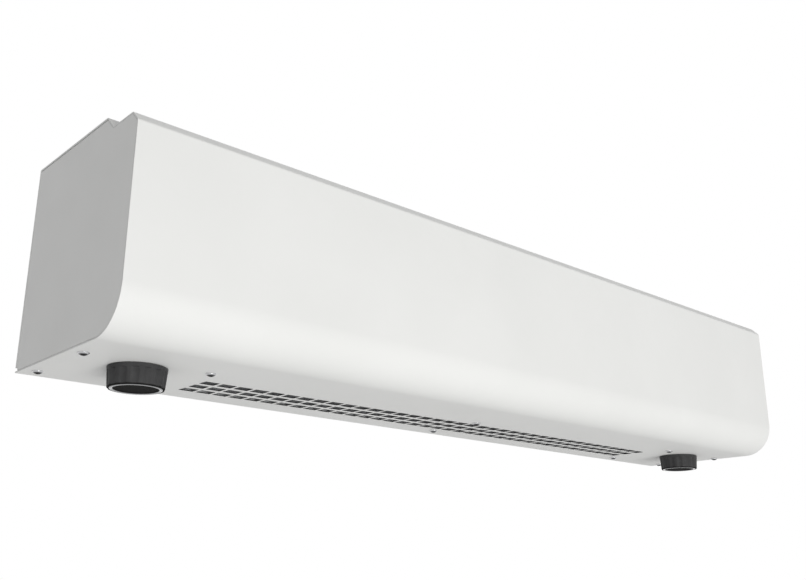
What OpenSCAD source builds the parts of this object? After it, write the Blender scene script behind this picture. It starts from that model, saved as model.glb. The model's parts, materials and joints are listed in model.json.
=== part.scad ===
/* [Casing] */
// Length of the casing from end to end
case_len = 800; // [640:10:1200]
// Depth of the casing from its front to the wall
case_depth = 162; // [157:1:180]
// Height of the rear section of the casing
case_height = 159; // [155:1:165]
// Drop from the top of the rear section to the ledge in front of it
ledge_drop = 10.7; // [8:0.1:13]
// Width and height of the bevel along the top of the front
front_bevel = 8.2; // [4:0.1:12]
// Depth at which the rear section reaches its full height
rise_depth = 46.8; // [44:0.1:49]
// Outer radius of the bend between the front and the bottom
corner_r = 32; // [24:1:34]
// Thickness of the sheet steel
sheet = 1; // [0.8:0.1:1.2]
// Gap left where two sheets meet
seam = 0.3; // [0.2:0.05:0.4]
// Distance from the end of the casing to the bulkhead
bay_len = 115; // [112:1:130]

/* [Grilles] */
// Length of one punched slot
slot_len = 12.5; // [8:0.5:13]
// Width of one punched slot
slot_width = 10.5; // [5:0.5:11]
// Distance from one slot to the next along the casing
slot_pitch = 15; // [14:0.5:20]
// Distance from one row of slots to the next
row_pitch = 15.5; // [12:0.5:15.5]
// Rows of slots in the outlet
outlet_rows = 3; // [1:1:3]
// Rows of slots in the intake
intake_rows = 5; // [1:1:5]
// Distance from the wall to the middle of the outlet
outlet_setback = 47; // [45:1:50]
// Width of the air duct above the outlet
duct_width = 43; // [42:0.5:45]

/* [Fan and heater] */
// Outer radius of the impeller
fan_r = 30; // [27:0.5:30]
// Distance of the impeller's axis below the top
fan_drop = 59; // [56:1:61]
// Number of impeller blades
blade_count = 28; // [16:1:32]
// Radius of the motor
motor_r = 38; // [34:0.5:38]
// Height of the heating rods above the middle of the space under the impeller
heater_lift = 2; // [0:0.5:3]
// Radius of the heating rods' fins
fin_r = 8.5; // [6:0.5:9]
// Distance from one fin to the next
fin_pitch = 6; // [5:0.5:10]

/* [Controls] */
// Distance of the knobs from the ends of the casing
knob_inset = 57.4; // [54:0.2:60]
// Distance of the knobs from the front
knob_depth = 87; // [80:0.5:92]
// Radius of a knob's collar
knob_r = 21; // [20:0.5:24]
// Height of a knob below the casing
knob_height = 15.4; // [13:0.2:20]
// Number of flutes round a knob
knob_flutes = 15; // [8:1:20]
// Radius of the control spindles
spindle_r = 3; // [2.5:0.1:3.2]

/* [Wall and cable] */
// Distance of the wall holes from the ends of the casing
wall_hole_inset = 22; // [20:1:24]
// Distance of the upper wall holes below the top
wall_hole_drop = 29; // [24:1:36]
// Distance between the lower and the upper wall holes
wall_spacing = 90; // [70:2:96]
// Radius of the wall holes
wall_hole_r = 3.25; // [2.5:0.25:3.5]
// Radius of the hole in the cable gland's seal
cable_r = 5.5; // [4:0.5:6]

/* [Hidden] */
$fn = 48;

// Shared allowances: a cut's overrun, the clearance of a running fit and of a fixed fit
over = 1;
fit = 0.05;
snug = 0.02;
bend_steps = 16;

// Places that follow the casing
case_half = case_len / 2;
ledge_height = case_height - ledge_drop;
notch_depth = rise_depth - ledge_drop;
ledge_end = notch_depth - sheet - seam;
bulkhead_x = case_half - bay_len;
bay_face_x = bulkhead_x + sheet;
wall_mid = case_height - wall_hole_drop - wall_spacing / 2;
outlet_depth = case_depth - outlet_setback;
duct_front = outlet_depth - duct_width / 2;
duct_rear = outlet_depth + duct_width / 2;
back_face = case_depth - sheet;
top_face = case_height - sheet;
knob_x = case_half - knob_inset;
// Top of the second sheet where two lie on each other
lap = 2 * sheet;

// Folds, reliefs and the places of the casing screws
fold = 16;
end_fold = 18;
end_fold_front = 42;
relief_height = 3.6;
relief_depth = 2.6;
lip = 13;
end_screw_inset = 9.5;
front_screw_depth = 68.5;
middle_screw_inset = 7.5;
rear_screw_inset = 18;
fold_screw_gap = 10;
end_screw_x = case_half - end_screw_inset;
fold_screw_x = bulkhead_x + fold_screw_gap;
rear_screw_depth = case_depth - rear_screw_inset;
middle_screw_depth = duct_front - middle_screw_inset;

// Pan-head screws
screw_head_r = 3.9;
screw_head_height = 2.4;
screw_rim = 0.6;
screw_shank_r = 1.65;
screw_len = 8;
recess_len = 4.2;
recess_width = 0.9;
recess_depth = 1.1;
screw_hole_r = 2.1;

// Fan
scroll_gap = 3;
scroll_r = 38;
scroll_end_angle = 40;
scroll_foot = 5;
scroll_flange = 12;
fan_end_gap = 5;
fan_depth = duct_rear - scroll_gap - fan_r;
fan_height = case_height - fan_drop;
fan_half = bulkhead_x - fan_end_gap;
disc_thickness = 1;
disc_spacing = 80;
disc_width = 10;
blade_chord = 8.4;
blade_r = 8;
blade_thickness = 0.8;
blade_tilt = 25;
blade_inset = 4.7;
hub_r = 9;
hub_len = 12;
shaft_r = 4;
coupling_r = 14;
coupling_hole_r = 15;
coupling_neck_r = 12;
coupling_inner_len = 3;
coupling_outer_len = 4;
stub_len = 20;
bearing_r = 9;
bearing_len = 10;
bush_flange_r = 18;
bush_neck_r = 15;
bush_inner_len = 3;
bush_outer_len = 4;

// Tongue, with its corners given by their gap from the impeller and their angle round its axis
tongue_foot = 30;
tongue_lean_drop = 48;
tongue_gaps = [4.4, 7.6, 20.5];
tongue_angles = [229, 216, 169];
tongue_flange = 12;

// Motor, along its own axis from the bulkhead
motor_standoff = 14;
shield_len = 13;
shield_wall = 5;
shield_end = 3;
stator_len = 26;
motor_boss_r = 11;
motor_boss_len = 10;
motor_bush_r = 7;
air_gap = 0.4;
rotor_r = 19;
rotor_overhang = 1;
winding_gap = 2;
winding_len = 9;
shaft_tail = 4;
shaft_nose = 3;
bolt_r = 1.5;
bolt_head_r = 2.4;
bolt_head_len = 2;
ear_r = 7;
ear_reach = 8;
ear_ring_r = motor_r + ear_reach;
ear_angles = [40, 160, 280];
bolt_turn = 60;
spacer_r = 6;
grommet_neck_r = 4.5;
grommet_flange_len = 2;
motor_screw_r = 2;
motor_screw_head_r = 3.5;
motor_screw_head_len = 2;
motor_nut_r = 4;
motor_nut_len = 3;
thread_proud = 1;
lead_window = 10;

// Capacitor
capacitor_r = 14;
capacitor_len = 50;
capacitor_depth = 34;
capacitor_height = 50;
capacitor_rim = 1.5;
capacitor_stud_r = 4;
capacitor_stud_len = 9;
capacitor_nut_r = 7;
capacitor_nut_len = 5;
tab_width = 6.3;
tab_thickness = 0.8;
tab_len = 8;
tab_step = 8;

// Heater
rod_r = 4;
rod_spread = 20;
rod_end = 14;
fin_thickness = 0.6;
fin_margin = 12;
bush_r = 6;
ceramic_flange_r = 9;
ceramic_flange_len = 3;
ceramic_neck_len = 2;
terminal_r = 2;
terminal_len = 12;
terminal_nut_r = 4;
terminal_nut_len = 3;
terminal_nut_gap = 1;
support_height = 24;
support_fin_count = 24;
heater_height = (fan_height - fan_r + lap) / 2 + heater_lift;
rear_rod_depth = outlet_depth + rod_spread / 2;
front_rod_depth = outlet_depth - rod_spread / 2;

// Overheat cut-out
cutout_r = 8;
cutout_len = 9;
cutout_drop = 36;
cutout_height = fan_height - cutout_drop;
cutout_cap_r = 6;
cutout_cap_len = 2;

// Knobs and controls
knob_gap = 0.5;
knob_taper = 1.2;
knob_collar = 2.6;
knob_bevel = 0.8;
flute_r = 6;
flute_cut = 0.9;
cavity_wall = 3.2;
cavity_depth = 9;
knob_boss_r = 6;
knob_bore_depth = 10;
flat_cut = 1;
ring_r = 18.3;
ring_width = 2.4;
ring_depth = 1;
ring_proud = 0.25;
dish_depth = 0.6;
dish_margin = 1;
spindle_hole_r = 4.2;
spindle_top = 22;
control_screw_offset = 12.5;
control_head_r = 3.2;
control_head_height = 2;
control_screw_r = 1.5;
control_screw_len = 5;
thermostat_size = [38, 42, 28];
thermostat_corner = 3;
cup_r = 11;
cup_len = 4;
cup_bevel = 1;
mode_base = [42, 42, 5];
mode_deck_r = 19;
mode_deck_len = 22;
mode_groove = 1.2;
mode_groove_width = 2;
mode_groove_step = 7;

// Thermostat bulb
bulb_r = 3;
bulb_len = 60;
bulb_depth = 62;
bulb_drop = 9;
bulb_proud = 1;
bulb_clip_shares = [1 / 3, 2 / 3];
capillary_r = 1;
bulb_clip_width = 6;
bulb_clip_thickness = 1;

// Terminal block and earth
block_size = [56, 20, 22];
block_inset = 54;
block_drop = 69;
block_height = case_height - block_drop;
pole_count = 5;
pole_size = 8;
pole_depth = 9;
clamp_len = 12;
clamp_size = 6;
clamp_screw_r = 2;
clamp_screw_len = 4;
wire_hole_r = 2;
earth_drop = 50;
earth_height = block_height - earth_drop;
earth_inset = 66;
earth_r = 2.5;
earth_len = 16;
earth_washer_r = 6;
earth_washer_thickness = 1;
earth_nut_r = 4.6;
earth_nut_len = 4;
earth_nut_step = 5;
earth_tag_width = 4;
earth_tag_len = 6;
earth_barrel_r = 1.5;
earth_barrel_len = 6;

// Cable gland
gland_inset = 50;
gland_wall_gap = 32;
gland_r = 10;
gland_thread_len = 10;
gland_hex_r = 14;
gland_hex_len = 5;
gland_top_len = 8;
gland_wall = 3;
locknut_len = 5;
dome_r = 13;
dome_len = 13;
dome_bevel = 2;
dome_lid = 3;

// Loom and leads
loom_r = 3.5;
loom_depth = 24;
loom_drop = 60;
loom_height = case_height - loom_drop;
loom_tail = 12;
grommet_hole_r = 6;
loom_flange_r = 8;
loom_flange_len = 2;
lead_r = 1.1;
lead_stub = 4;
lead_sides = 6;
lead_steps = 3;

// Stops of the leads and the capillary: distance past the bulkhead's inner face, depth, height
capillary_stops = [
    [22, 61, 148], [39, 58, 138], [46, 57, 118], [48, 57, 80], [52, 62, 54], [57, 78, 49]
];
capacitor_stops = [[45, 22, 86], [69, 21, 70], [76, 24, 56]];
motor_stops = [[31, 30, 88], [65, 42, 70], [77, 72, 54], [68, 98, 50]];
front_rod_stops = [[31, 32, 80], [41, 57, 62], [39, 84, 44]];
thermostat_stops = [[35, 18, 88], [90, 20, 60], [97, 60, 40], [93, 112, 28], [80, 126, 20]];
rear_rod_stops = [[45, 128, 32], [50, 129, 22]];
supply_stops = [[30, 40, 114], [36, 90, 124], [38, 135, 118]];
mode_stops = [[25, 22, 70], [24, 34, 34]];
mode_rod_stops = [[34, 117, 20], [42, 124, 28]];
mode_supply_stops = [[88, 130, 30], [80, 150, 55]];
cutout_rod_stops = [[40, 106, 46], [36, 110, 60]];
cutout_supply_stops = [[45, 128, 66], [58, 146, 68]];

// Directions, normals and bends of an outline given as [depth, height] points
function heading(a, b) = (b - a) / norm(b - a);
function inward(a, b) = let (d = heading(a, b)) [d.y, -d.x];
function mitre(m, n) = (m + n) / (1 + m * n);
function bend(centre, r, from, to) = [
    for (i = [0:bend_steps])
        let (a = from + (to - from) * i / bend_steps)
            centre + r * [cos(a), sin(a)]
];

// The points of an open path moved inward, and the strip of sheet between the two
function shifted(path, t) = [
    for (i = [0:len(path) - 1])
        let (
            last = len(path) - 1,
            m = i > 0 ? inward(path[i - 1], path[i]) : inward(path[0], path[1]),
            n = i < last ? inward(path[i], path[i + 1]) : m
        )
            path[i] + t * mitre(m, n)
];
function reversed(path) = [for (i = [len(path) - 1:-1:0]) path[i]];
function strip(path, t) = concat(path, reversed(shifted(path, t)));

// The points of a closed outline moved inward
function shrunk(loop, t) = [
    for (i = [0:len(loop) - 1])
        let (
            before = loop[(i + len(loop) - 1) % len(loop)],
            after = loop[(i + 1) % len(loop)]
        )
            loop[i] + t * mitre(inward(before, loop[i]), inward(loop[i], after))
];

// The casing's outer outline, from the wall round the bottom, the front and the top
front_points = concat(
    [[case_depth, 0]],
    bend([corner_r, corner_r], corner_r, 270, 180),
    [[0, ledge_height - front_bevel], [front_bevel, ledge_height]]
);
casing_outline = concat(
    front_points,
    [[notch_depth, ledge_height], [rise_depth, case_height], [case_depth, case_height]]
);
cover_path = concat(front_points, [[ledge_end, ledge_height]]);
chassis_path = [
    [notch_depth - sheet - lip, ledge_height - sheet],
    [notch_depth - sheet, ledge_height - sheet],
    [rise_depth, case_height],
    [case_depth, case_height],
    [case_depth, sheet],
    [duct_rear + lap, sheet]
];
scroll_path = concat(
    [[duct_rear + scroll_foot, lap], [duct_rear, lap]],
    bend([duct_rear - scroll_r, fan_height], scroll_r, 0, scroll_end_angle),
    let (end_height = fan_height + scroll_r * sin(scroll_end_angle))
        [[back_face - sheet, end_height], [back_face - sheet, end_height + scroll_flange]]
);
tongue_corners = [
    for (i = [0:2])
        [fan_depth, fan_height]
            + (fan_r + tongue_gaps[i]) * [cos(tongue_angles[i]), sin(tongue_angles[i])]
];
tongue_path = [
    [duct_front - tongue_foot, lap],
    [duct_front - sheet, lap],
    [duct_front - sheet, fan_height - tongue_lean_drop],
    each tongue_corners,
    [tongue_corners[2].x, top_face],
    [tongue_corners[2].x + tongue_flange, top_face]
];

// Where the screws go through the bottom
casing_screw_places = concat(
    [
        for (side = [-1, 1])
            each [
                [side * end_screw_x, front_screw_depth],
                [side * end_screw_x, rear_screw_depth],
                [side * fold_screw_x, front_screw_depth],
                [side * fold_screw_x, rear_screw_depth]
            ]
    ],
    [[0, middle_screw_depth], [0, rear_screw_depth]]
);

// Placing
module in_frame() translate([0, -case_depth, -wall_mid]) children();
module along_x(from, to) translate([from, 0, 0]) rotate([90, 0, 90])
    linear_extrude(to - from) children();
module at_right() children();
module at_left() mirror([1, 0, 0]) children();
module both_ends() {
    children();
    mirror([1, 0, 0]) children();
}
module fan_axis(x) translate([x, fan_depth, fan_height]) rotate([0, 90, 0]) children();
module motor_axis() translate([-bay_face_x, fan_depth, fan_height])
    rotate([0, -90, 0]) children();
module at_ears() for (a = ear_angles) rotate(90 - a) translate([ear_ring_r, 0, 0]) children();
module at_bolts() for (a = ear_angles)
    rotate(90 - a + bolt_turn) translate([motor_r - shield_wall / 2, 0, 0]) children();
module under_knob(side) translate([side * knob_x, knob_depth, 0]) children();

// Common shapes
module ring(r, bore, h) difference() {
    cylinder(r = r, h = h);
    translate([0, 0, -over]) cylinder(r = bore, h = h + 2 * over);
}
module hex(r, h) cylinder(r = r, h = h, $fn = 6);
module hex_nut(r, bore, h) difference() {
    hex(r, h);
    translate([0, 0, -over]) cylinder(r = bore, h = h + 2 * over);
}
module spool(flange, neck, bore, below, middle, above) difference() {
    union() {
        cylinder(r = flange, h = below);
        cylinder(r = neck, h = below + middle + above);
        translate([0, 0, below + middle]) cylinder(r = flange, h = above);
    }
    translate([0, 0, -over]) cylinder(r = bore, h = below + middle + above + 2 * over);
}
module pan_screw(head_r, head_height, shank_r, shank_len) {
    cap = head_height - screw_rim;
    cap_r = (head_r * head_r + cap * cap) / (2 * cap);
    difference() {
        union() {
            intersection() {
                translate([0, 0, cap_r - head_height]) sphere(r = cap_r);
                translate([0, 0, -head_height]) cylinder(r = head_r, h = head_height);
            }
            translate([0, 0, -screw_rim]) cylinder(r = shank_r, h = shank_len + screw_rim);
        }
        for (turn = [0, 90])
            rotate(turn)
                translate([-recess_len / 2, -recess_width / 2, -head_height - over])
                    cube([recess_len, recess_width, recess_depth + over]);
    }
}
module slots(rows, middle, face) {
    columns = floor(2 * bulkhead_x / slot_pitch);
    for (i = [0:columns - 1], j = [0:rows - 1])
        translate([
            (i - (columns - 1) / 2) * slot_pitch - slot_len / 2,
            middle + (j - (rows - 1) / 2) * row_pitch - slot_width / 2,
            face - over
        ])
            cube([slot_len, slot_width, sheet + 2 * over]);
}

// A tube swept along smooth points: the spline, its rings, and the solid
function spline_point(p, i, t) =
    let (
        a = p[max(i - 1, 0)],
        b = p[i],
        c = p[i + 1],
        d = p[min(i + 2, len(p) - 1)]
    )
        (2 * b + (c - a) * t + (2 * a - 5 * b + 4 * c - d) * t * t
            + (3 * b - a - 3 * c + d) * t * t * t) / 2;
function smooth(p) = concat(
    [for (i = [0:len(p) - 2], k = [0:lead_steps - 1]) spline_point(p, i, k / lead_steps)],
    [p[len(p) - 1]]
);
function tangent(p, i) =
    let (a = p[max(i - 1, 0)], b = p[min(i + 1, len(p) - 1)]) (b - a) / norm(b - a);
function turned(v, t) = let (w = v - (v * t) * t) w / norm(w);
function side_vectors(p, i = 0, v = [0.31, 0.83, 0.47]) =
    let (w = turned(v, tangent(p, i)))
        i == len(p) - 1 ? [w] : concat([w], side_vectors(p, i + 1, w));
module tube(route, r) {
    p = smooth(route);
    v = side_vectors(p);
    n = lead_sides;
    points = [
        for (i = [0:len(p) - 1], k = [0:n - 1])
            let (a = 360 * k / n, w = cross(tangent(p, i), v[i]))
                p[i] + r * (cos(a) * v[i] + sin(a) * w)
    ];
    sides = [
        for (i = [0:len(p) - 2], k = [0:n - 1])
            let (m = (k + 1) % n, a = i * n)
                each [
                    [a + k, a + n + k, a + n + m],
                    [a + k, a + n + m, a + m]
                ]
    ];
    last = (len(p) - 1) * n;
    caps = [
        for (k = [1:n - 2])
            each [[0, k, k + 1], [last, last + k + 1, last + k]]
    ];
    polyhedron(points = points, faces = concat(sides, caps), convexity = 6);
}

// A wire from one end to another, leaving each end straight for two stubs
function stub(from, way) = [for (i = [0:2]) from + (fit + i * lead_stub) * way];
module wire(from, way, stops, to, back, r) tube(
    concat(
        stub(from, way),
        [for (stop = stops) [bulkhead_x, 0, 0] + stop],
        reversed(stub(to, back))
    ),
    r
);

// Casing
module front_cover() color("white") difference() {
    along_x(-case_half, case_half) polygon(strip(cover_path, sheet));
    slots(outlet_rows, outlet_depth, 0);
    for (place = casing_screw_places)
        translate([place.x, place.y, -over]) cylinder(r = screw_hole_r, h = sheet + 2 * over);
    for (side = [-1, 1])
        under_knob(side) {
            translate([0, 0, -over]) cylinder(r = spindle_hole_r, h = sheet + 2 * over);
            for (way = [-1, 1])
                translate([way * control_screw_offset, 0, -over])
                    cylinder(r = screw_hole_r, h = sheet + 2 * over);
        }
}

module chassis() color("white") difference() {
    along_x(-case_half, case_half) polygon(strip(chassis_path, sheet));
    slots(intake_rows, (rise_depth + case_depth) / 2, top_face);
    for (place = casing_screw_places)
        translate([place.x, place.y, 0]) cylinder(r = screw_shank_r + fit, h = lap + over);
    for (side = [-1, 1], half = [-1, 1])
        translate([
            side * (case_half - wall_hole_inset),
            case_depth - sheet - over,
            wall_mid + half * wall_spacing / 2
        ])
            rotate([-90, 0, 0]) cylinder(r = wall_hole_r, h = sheet + 2 * over);
    translate([case_half - gland_inset, case_depth - gland_wall_gap, top_face - over])
        cylinder(r = gland_r + seam, h = sheet + 2 * over);
    both_ends() {
        translate([
            case_half - sheet - seam,
            notch_depth - sheet - lip - over,
            ledge_height - lap - over
        ])
            cube([sheet + seam + over, lip + sheet + seam + over, sheet + over]);
        translate([case_half - relief_height, duct_rear, 0])
            cube([relief_height + over, case_depth - duct_rear + over, relief_height]);
    }
}

module end_panel() difference() {
    inside = case_half - sheet / 2;
    union() {
        along_x(case_half - sheet, case_half) polygon(shrunk(casing_outline, sheet + seam));
        translate([case_half - end_fold, end_fold_front, sheet])
            cube([end_fold - sheet / 2, duct_rear - end_fold_front, sheet]);
        translate([case_half - fold, back_face - sheet, fold])
            cube([inside - case_half + fold, sheet, top_face - 2 * fold]);
        translate([case_half - fold, rise_depth + fold, top_face - sheet])
            cube([inside - case_half + fold, back_face - rise_depth - 2 * fold, sheet]);
    }
    translate([case_half - sheet - over, case_depth - sheet - seam - relief_depth, 0])
        cube([sheet + 2 * over, relief_depth + over, relief_height]);
    translate([end_screw_x, front_screw_depth, 0])
        cylinder(r = screw_shank_r + fit, h = lap + over);
}
module left_end_panel() color("gainsboro") at_left() end_panel();
module right_end_panel() color("gainsboro") at_right() end_panel();

module casing_screws() color("silver") for (place = casing_screw_places)
    translate([place.x, place.y, 0])
        pan_screw(screw_head_r, screw_head_height, screw_shank_r, screw_len);

// Bulkheads: a plate across the casing, with its folds turned into the bay
module bulkhead_blank() {
    edge = lap + seam;
    along_x(bulkhead_x, bay_face_x) polygon(shrunk(casing_outline, edge));
    translate([bulkhead_x, front_screw_depth - fold / 2, sheet])
        cube([fold, duct_rear - front_screw_depth + fold / 2, sheet]);
    translate([bulkhead_x, front_screw_depth - fold / 2, sheet])
        cube([sheet, duct_rear - front_screw_depth + fold / 2, edge]);
    translate([bulkhead_x, back_face - sheet, fold])
        cube([fold, sheet, top_face - 2 * fold]);
    translate([bulkhead_x, back_face - edge, fold]) cube([sheet, edge, top_face - 2 * fold]);
}
module through_bulkhead(depth, height, r)
    translate([bulkhead_x - over, depth, height]) rotate([0, 90, 0])
        cylinder(r = r, h = sheet + 2 * over);
module bulkhead_common_holes() {
    for (depth = [front_rod_depth, rear_rod_depth])
        through_bulkhead(depth, heater_height, bush_r + fit);
    through_bulkhead(loom_depth, loom_height, grommet_hole_r);
    translate([fold_screw_x, front_screw_depth, 0])
        cylinder(r = screw_shank_r + fit, h = lap + over);
}
module left_bulkhead() color("lightgray") at_left() difference() {
    bulkhead_blank();
    bulkhead_common_holes();
    through_bulkhead(fan_depth, fan_height, coupling_hole_r);
    for (a = ear_angles)
        through_bulkhead(
            fan_depth + ear_ring_r * cos(a), fan_height + ear_ring_r * sin(a), motor_screw_r + fit);
    through_bulkhead(capacitor_depth, capacitor_height, capacitor_stud_r + fit);
    through_bulkhead(bulb_depth, top_face - bulb_drop, bulb_r);
}
module right_bulkhead() color("lightgray") at_right() difference() {
    bulkhead_blank();
    bulkhead_common_holes();
    through_bulkhead(fan_depth, fan_height, bush_neck_r + snug);
    through_bulkhead(outlet_depth, cutout_height, cutout_cap_r + fit);
}

module fan_scroll() color("lightgray") along_x(-bulkhead_x, bulkhead_x)
    polygon(strip(scroll_path, sheet));

module fan_tongue() color("lightgray") difference() {
    along_x(-bulkhead_x, bulkhead_x) polygon(strip(tongue_path, sheet));
    translate([0, middle_screw_depth, 0])
        cylinder(r = screw_shank_r + fit, h = lap + over);
}

// Impeller and what carries it
module blade_section() {
    lift = sqrt(blade_r * blade_r - blade_chord * blade_chord / 4);
    translate([fan_r - blade_inset, 0])
        rotate(blade_tilt)
            intersection() {
                translate([0, -lift])
                    difference() {
                        circle(r = blade_r + blade_thickness / 2);
                        circle(r = blade_r - blade_thickness / 2);
                    }
                translate([-blade_chord / 2, -blade_thickness])
                    square([blade_chord, blade_r]);
            }
}
module impeller() color("silver") difference() {
    gaps = ceil(2 * fan_half / disc_spacing);
    step = (2 * fan_half - disc_thickness) / gaps;
    union() {
        for (i = [0:blade_count - 1])
            fan_axis(-fan_half + disc_thickness / 2)
                rotate(i * 360 / blade_count)
                    linear_extrude(2 * fan_half - disc_thickness) blade_section();
        for (i = [1:gaps - 1])
            fan_axis(-fan_half + i * step) ring(fan_r, fan_r - disc_width, disc_thickness);
        for (i = [0, gaps]) fan_axis(-fan_half + i * step) cylinder(r = fan_r, h = disc_thickness);
        fan_axis(fan_half - hub_len) cylinder(r = hub_r, h = hub_len);
    }
    fan_axis(-fan_half - over) cylinder(r = coupling_neck_r + snug, h = disc_thickness + 2 * over);
    fan_axis(fan_half - hub_len - over) cylinder(r = shaft_r + snug, h = hub_len + 2 * over);
}
module drive_coupling() color("dimgray")
    fan_axis(-fan_half - coupling_inner_len)
        spool(
            coupling_r, coupling_neck_r, shaft_r + snug,
            coupling_inner_len, disc_thickness, coupling_outer_len);
module stub_shaft() color("silver")
    fan_axis(fan_half - hub_len) cylinder(r = shaft_r, h = hub_len + stub_len);
module bearing_bush() color("dimgray")
    fan_axis(bulkhead_x - bush_inner_len)
        spool(bush_flange_r, bush_neck_r, bearing_r, bush_inner_len, sheet, bush_outer_len);
module shaft_bearing() color("goldenrod")
    fan_axis(bulkhead_x - bush_inner_len) ring(bearing_r - snug, shaft_r + fit, bearing_len);

// Motor, drawn along its own axis away from the bulkhead
stator_start = motor_standoff + shield_len;
stator_end = stator_start + stator_len;
motor_end = stator_end + shield_len;
module shield() difference() {
    union() {
        difference() {
            cylinder(r = motor_r, h = shield_len);
            translate([0, 0, shield_end]) cylinder(r = motor_r - shield_wall, h = shield_len);
        }
        cylinder(r = motor_boss_r, h = motor_boss_len);
    }
    translate([0, 0, -over]) cylinder(r = motor_bush_r + snug, h = shield_len + 2 * over);
    at_bolts() translate([0, 0, -over]) cylinder(r = bolt_r + fit, h = shield_len + 2 * over);
}
module motor_front_shield() color("silver") motor_axis() translate([0, 0, motor_standoff])
    difference() {
        union() {
            shield();
            for (a = ear_angles)
                rotate(90 - a) {
                    translate([motor_r - shield_wall / 2, -ear_r, 0])
                        cube([ear_ring_r - motor_r + shield_wall / 2, 2 * ear_r, shield_end]);
                    translate([ear_ring_r, 0, 0]) cylinder(r = ear_r, h = shield_end);
                }
        }
        at_ears() translate([0, 0, -over])
            cylinder(r = grommet_neck_r + snug, h = shield_end + 2 * over);
    }
module motor_rear_shield() color("silver") motor_axis() translate([0, 0, motor_end])
    mirror([0, 0, 1]) difference() {
        shield();
        translate([-motor_r - over, -lead_window / 2, shield_end])
            cube([shield_wall + 2 * over, lead_window, shield_len]);
    }
module motor_stator() color("slategray") motor_axis() translate([0, 0, stator_start])
    difference() {
        ring(motor_r, rotor_r + air_gap, stator_len);
        at_bolts() translate([0, 0, -over])
            cylinder(r = bolt_r + fit, h = stator_len + 2 * over);
    }
module motor_winding() color("peru") motor_axis()
    for (start = [stator_start - winding_len, stator_end])
        translate([0, 0, start])
            ring(motor_r - shield_wall - seam, rotor_r + winding_gap, winding_len);
module motor_rotor() color("gray") motor_axis()
    translate([0, 0, stator_start - rotor_overhang])
        ring(rotor_r, shaft_r + snug, stator_len + 2 * rotor_overhang);
shaft_reach = sheet + fan_end_gap + disc_thickness + coupling_outer_len + shaft_nose;
module motor_shaft() color("silver") motor_axis() translate([0, 0, -shaft_reach])
    cylinder(r = shaft_r, h = shaft_reach + motor_end + shaft_tail);
module motor_bearings() color("goldenrod") motor_axis()
    for (start = [motor_standoff, motor_end - motor_boss_len])
        translate([0, 0, start]) ring(motor_bush_r, shaft_r + fit, motor_boss_len);
module motor_bolts() color("silver") motor_axis() at_bolts() {
    translate([0, 0, motor_standoff]) cylinder(r = bolt_r, h = motor_end - motor_standoff);
    translate([0, 0, motor_end]) cylinder(r = bolt_head_r, h = bolt_head_len);
}
module motor_grommets() color("dimgray") motor_axis() at_ears()
    translate([0, 0, motor_standoff - grommet_flange_len])
        spool(
            ear_r - seam, grommet_neck_r, motor_screw_r + fit,
            grommet_flange_len, shield_end, grommet_flange_len);
module motor_spacers() color("silver") motor_axis() at_ears()
    ring(spacer_r, motor_screw_r + fit, motor_standoff - grommet_flange_len);
ear_top = motor_standoff + shield_end + grommet_flange_len;
module motor_screws() color("silver") motor_axis() at_ears()
    translate([0, 0, -sheet]) {
        translate([0, 0, -motor_screw_head_len])
            cylinder(r = motor_screw_head_r, h = motor_screw_head_len);
        cylinder(r = motor_screw_r, h = sheet + ear_top + motor_nut_len + thread_proud);
    }
module motor_nuts() color("silver") motor_axis() at_ears()
    translate([0, 0, ear_top]) hex_nut(motor_nut_r, motor_screw_r + fit, motor_nut_len);

// Run capacitor on the left bulkhead
module capacitor_axis() translate([-bay_face_x, capacitor_depth, capacitor_height])
    rotate([0, -90, 0]) children();
module run_capacitor() color("silver") capacitor_axis() {
    cylinder(r = capacitor_r, h = capacitor_len - capacitor_rim);
    cylinder(r = capacitor_r - capacitor_rim, h = capacitor_len);
    translate([0, 0, -capacitor_stud_len]) cylinder(r = capacitor_stud_r, h = capacitor_stud_len + over);
    for (side = [-1, 1])
        translate([-tab_width / 2, side * capacitor_r / 2 - tab_thickness / 2, capacitor_len - over])
            cube([tab_width, tab_thickness, tab_len + over]);
}
module capacitor_nut() color("silver") capacitor_axis()
    translate([0, 0, -sheet - capacitor_nut_len])
        hex_nut(capacitor_nut_r, capacitor_stud_r + fit, capacitor_nut_len);

// Finned heating rods and what holds them
fin_pairs = floor((bulkhead_x - fin_margin) / fin_pitch);
module heating_rod(depth) translate([0, depth, heater_height]) rotate([0, 90, 0])
    rotate_extrude()
        polygon(concat(
            [[0, -bay_face_x - rod_end], [rod_r, -bay_face_x - rod_end]],
            [
                for (i = [-fin_pairs:fin_pairs - 1])
                    let (
                        low = (i + 1 / 2) * fin_pitch - fin_thickness / 2,
                        high = low + fin_thickness
                    )
                        each [[rod_r, low], [fin_r, low], [fin_r, high], [rod_r, high]]
            ],
            [[rod_r, bay_face_x + rod_end], [0, bay_face_x + rod_end]]
        ));
module front_heater() color("slategray") heating_rod(front_rod_depth);
module rear_heater() color("slategray") heating_rod(rear_rod_depth);
module at_rod_ends() both_ends() for (depth = [front_rod_depth, rear_rod_depth])
    translate([bay_face_x, depth, heater_height]) rotate([0, 90, 0]) children();
module heater_bushes() color("ivory") at_rod_ends()
    difference() {
        union() {
            cylinder(r = ceramic_flange_r, h = ceramic_flange_len);
            translate([0, 0, -sheet - ceramic_neck_len])
                cylinder(r = bush_r, h = sheet + ceramic_neck_len + over);
        }
        translate([0, 0, -sheet - ceramic_neck_len - over])
            cylinder(r = rod_r + fit, h = ceramic_flange_len + ceramic_neck_len + 3 * over);
    }
module heater_terminals() color("silver") at_rod_ends() translate([0, 0, rod_end]) {
    cylinder(r = terminal_r, h = terminal_len);
    for (start = [0, terminal_nut_len + terminal_nut_gap])
        translate([0, 0, start]) hex(terminal_nut_r, terminal_nut_len);
}
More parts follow.
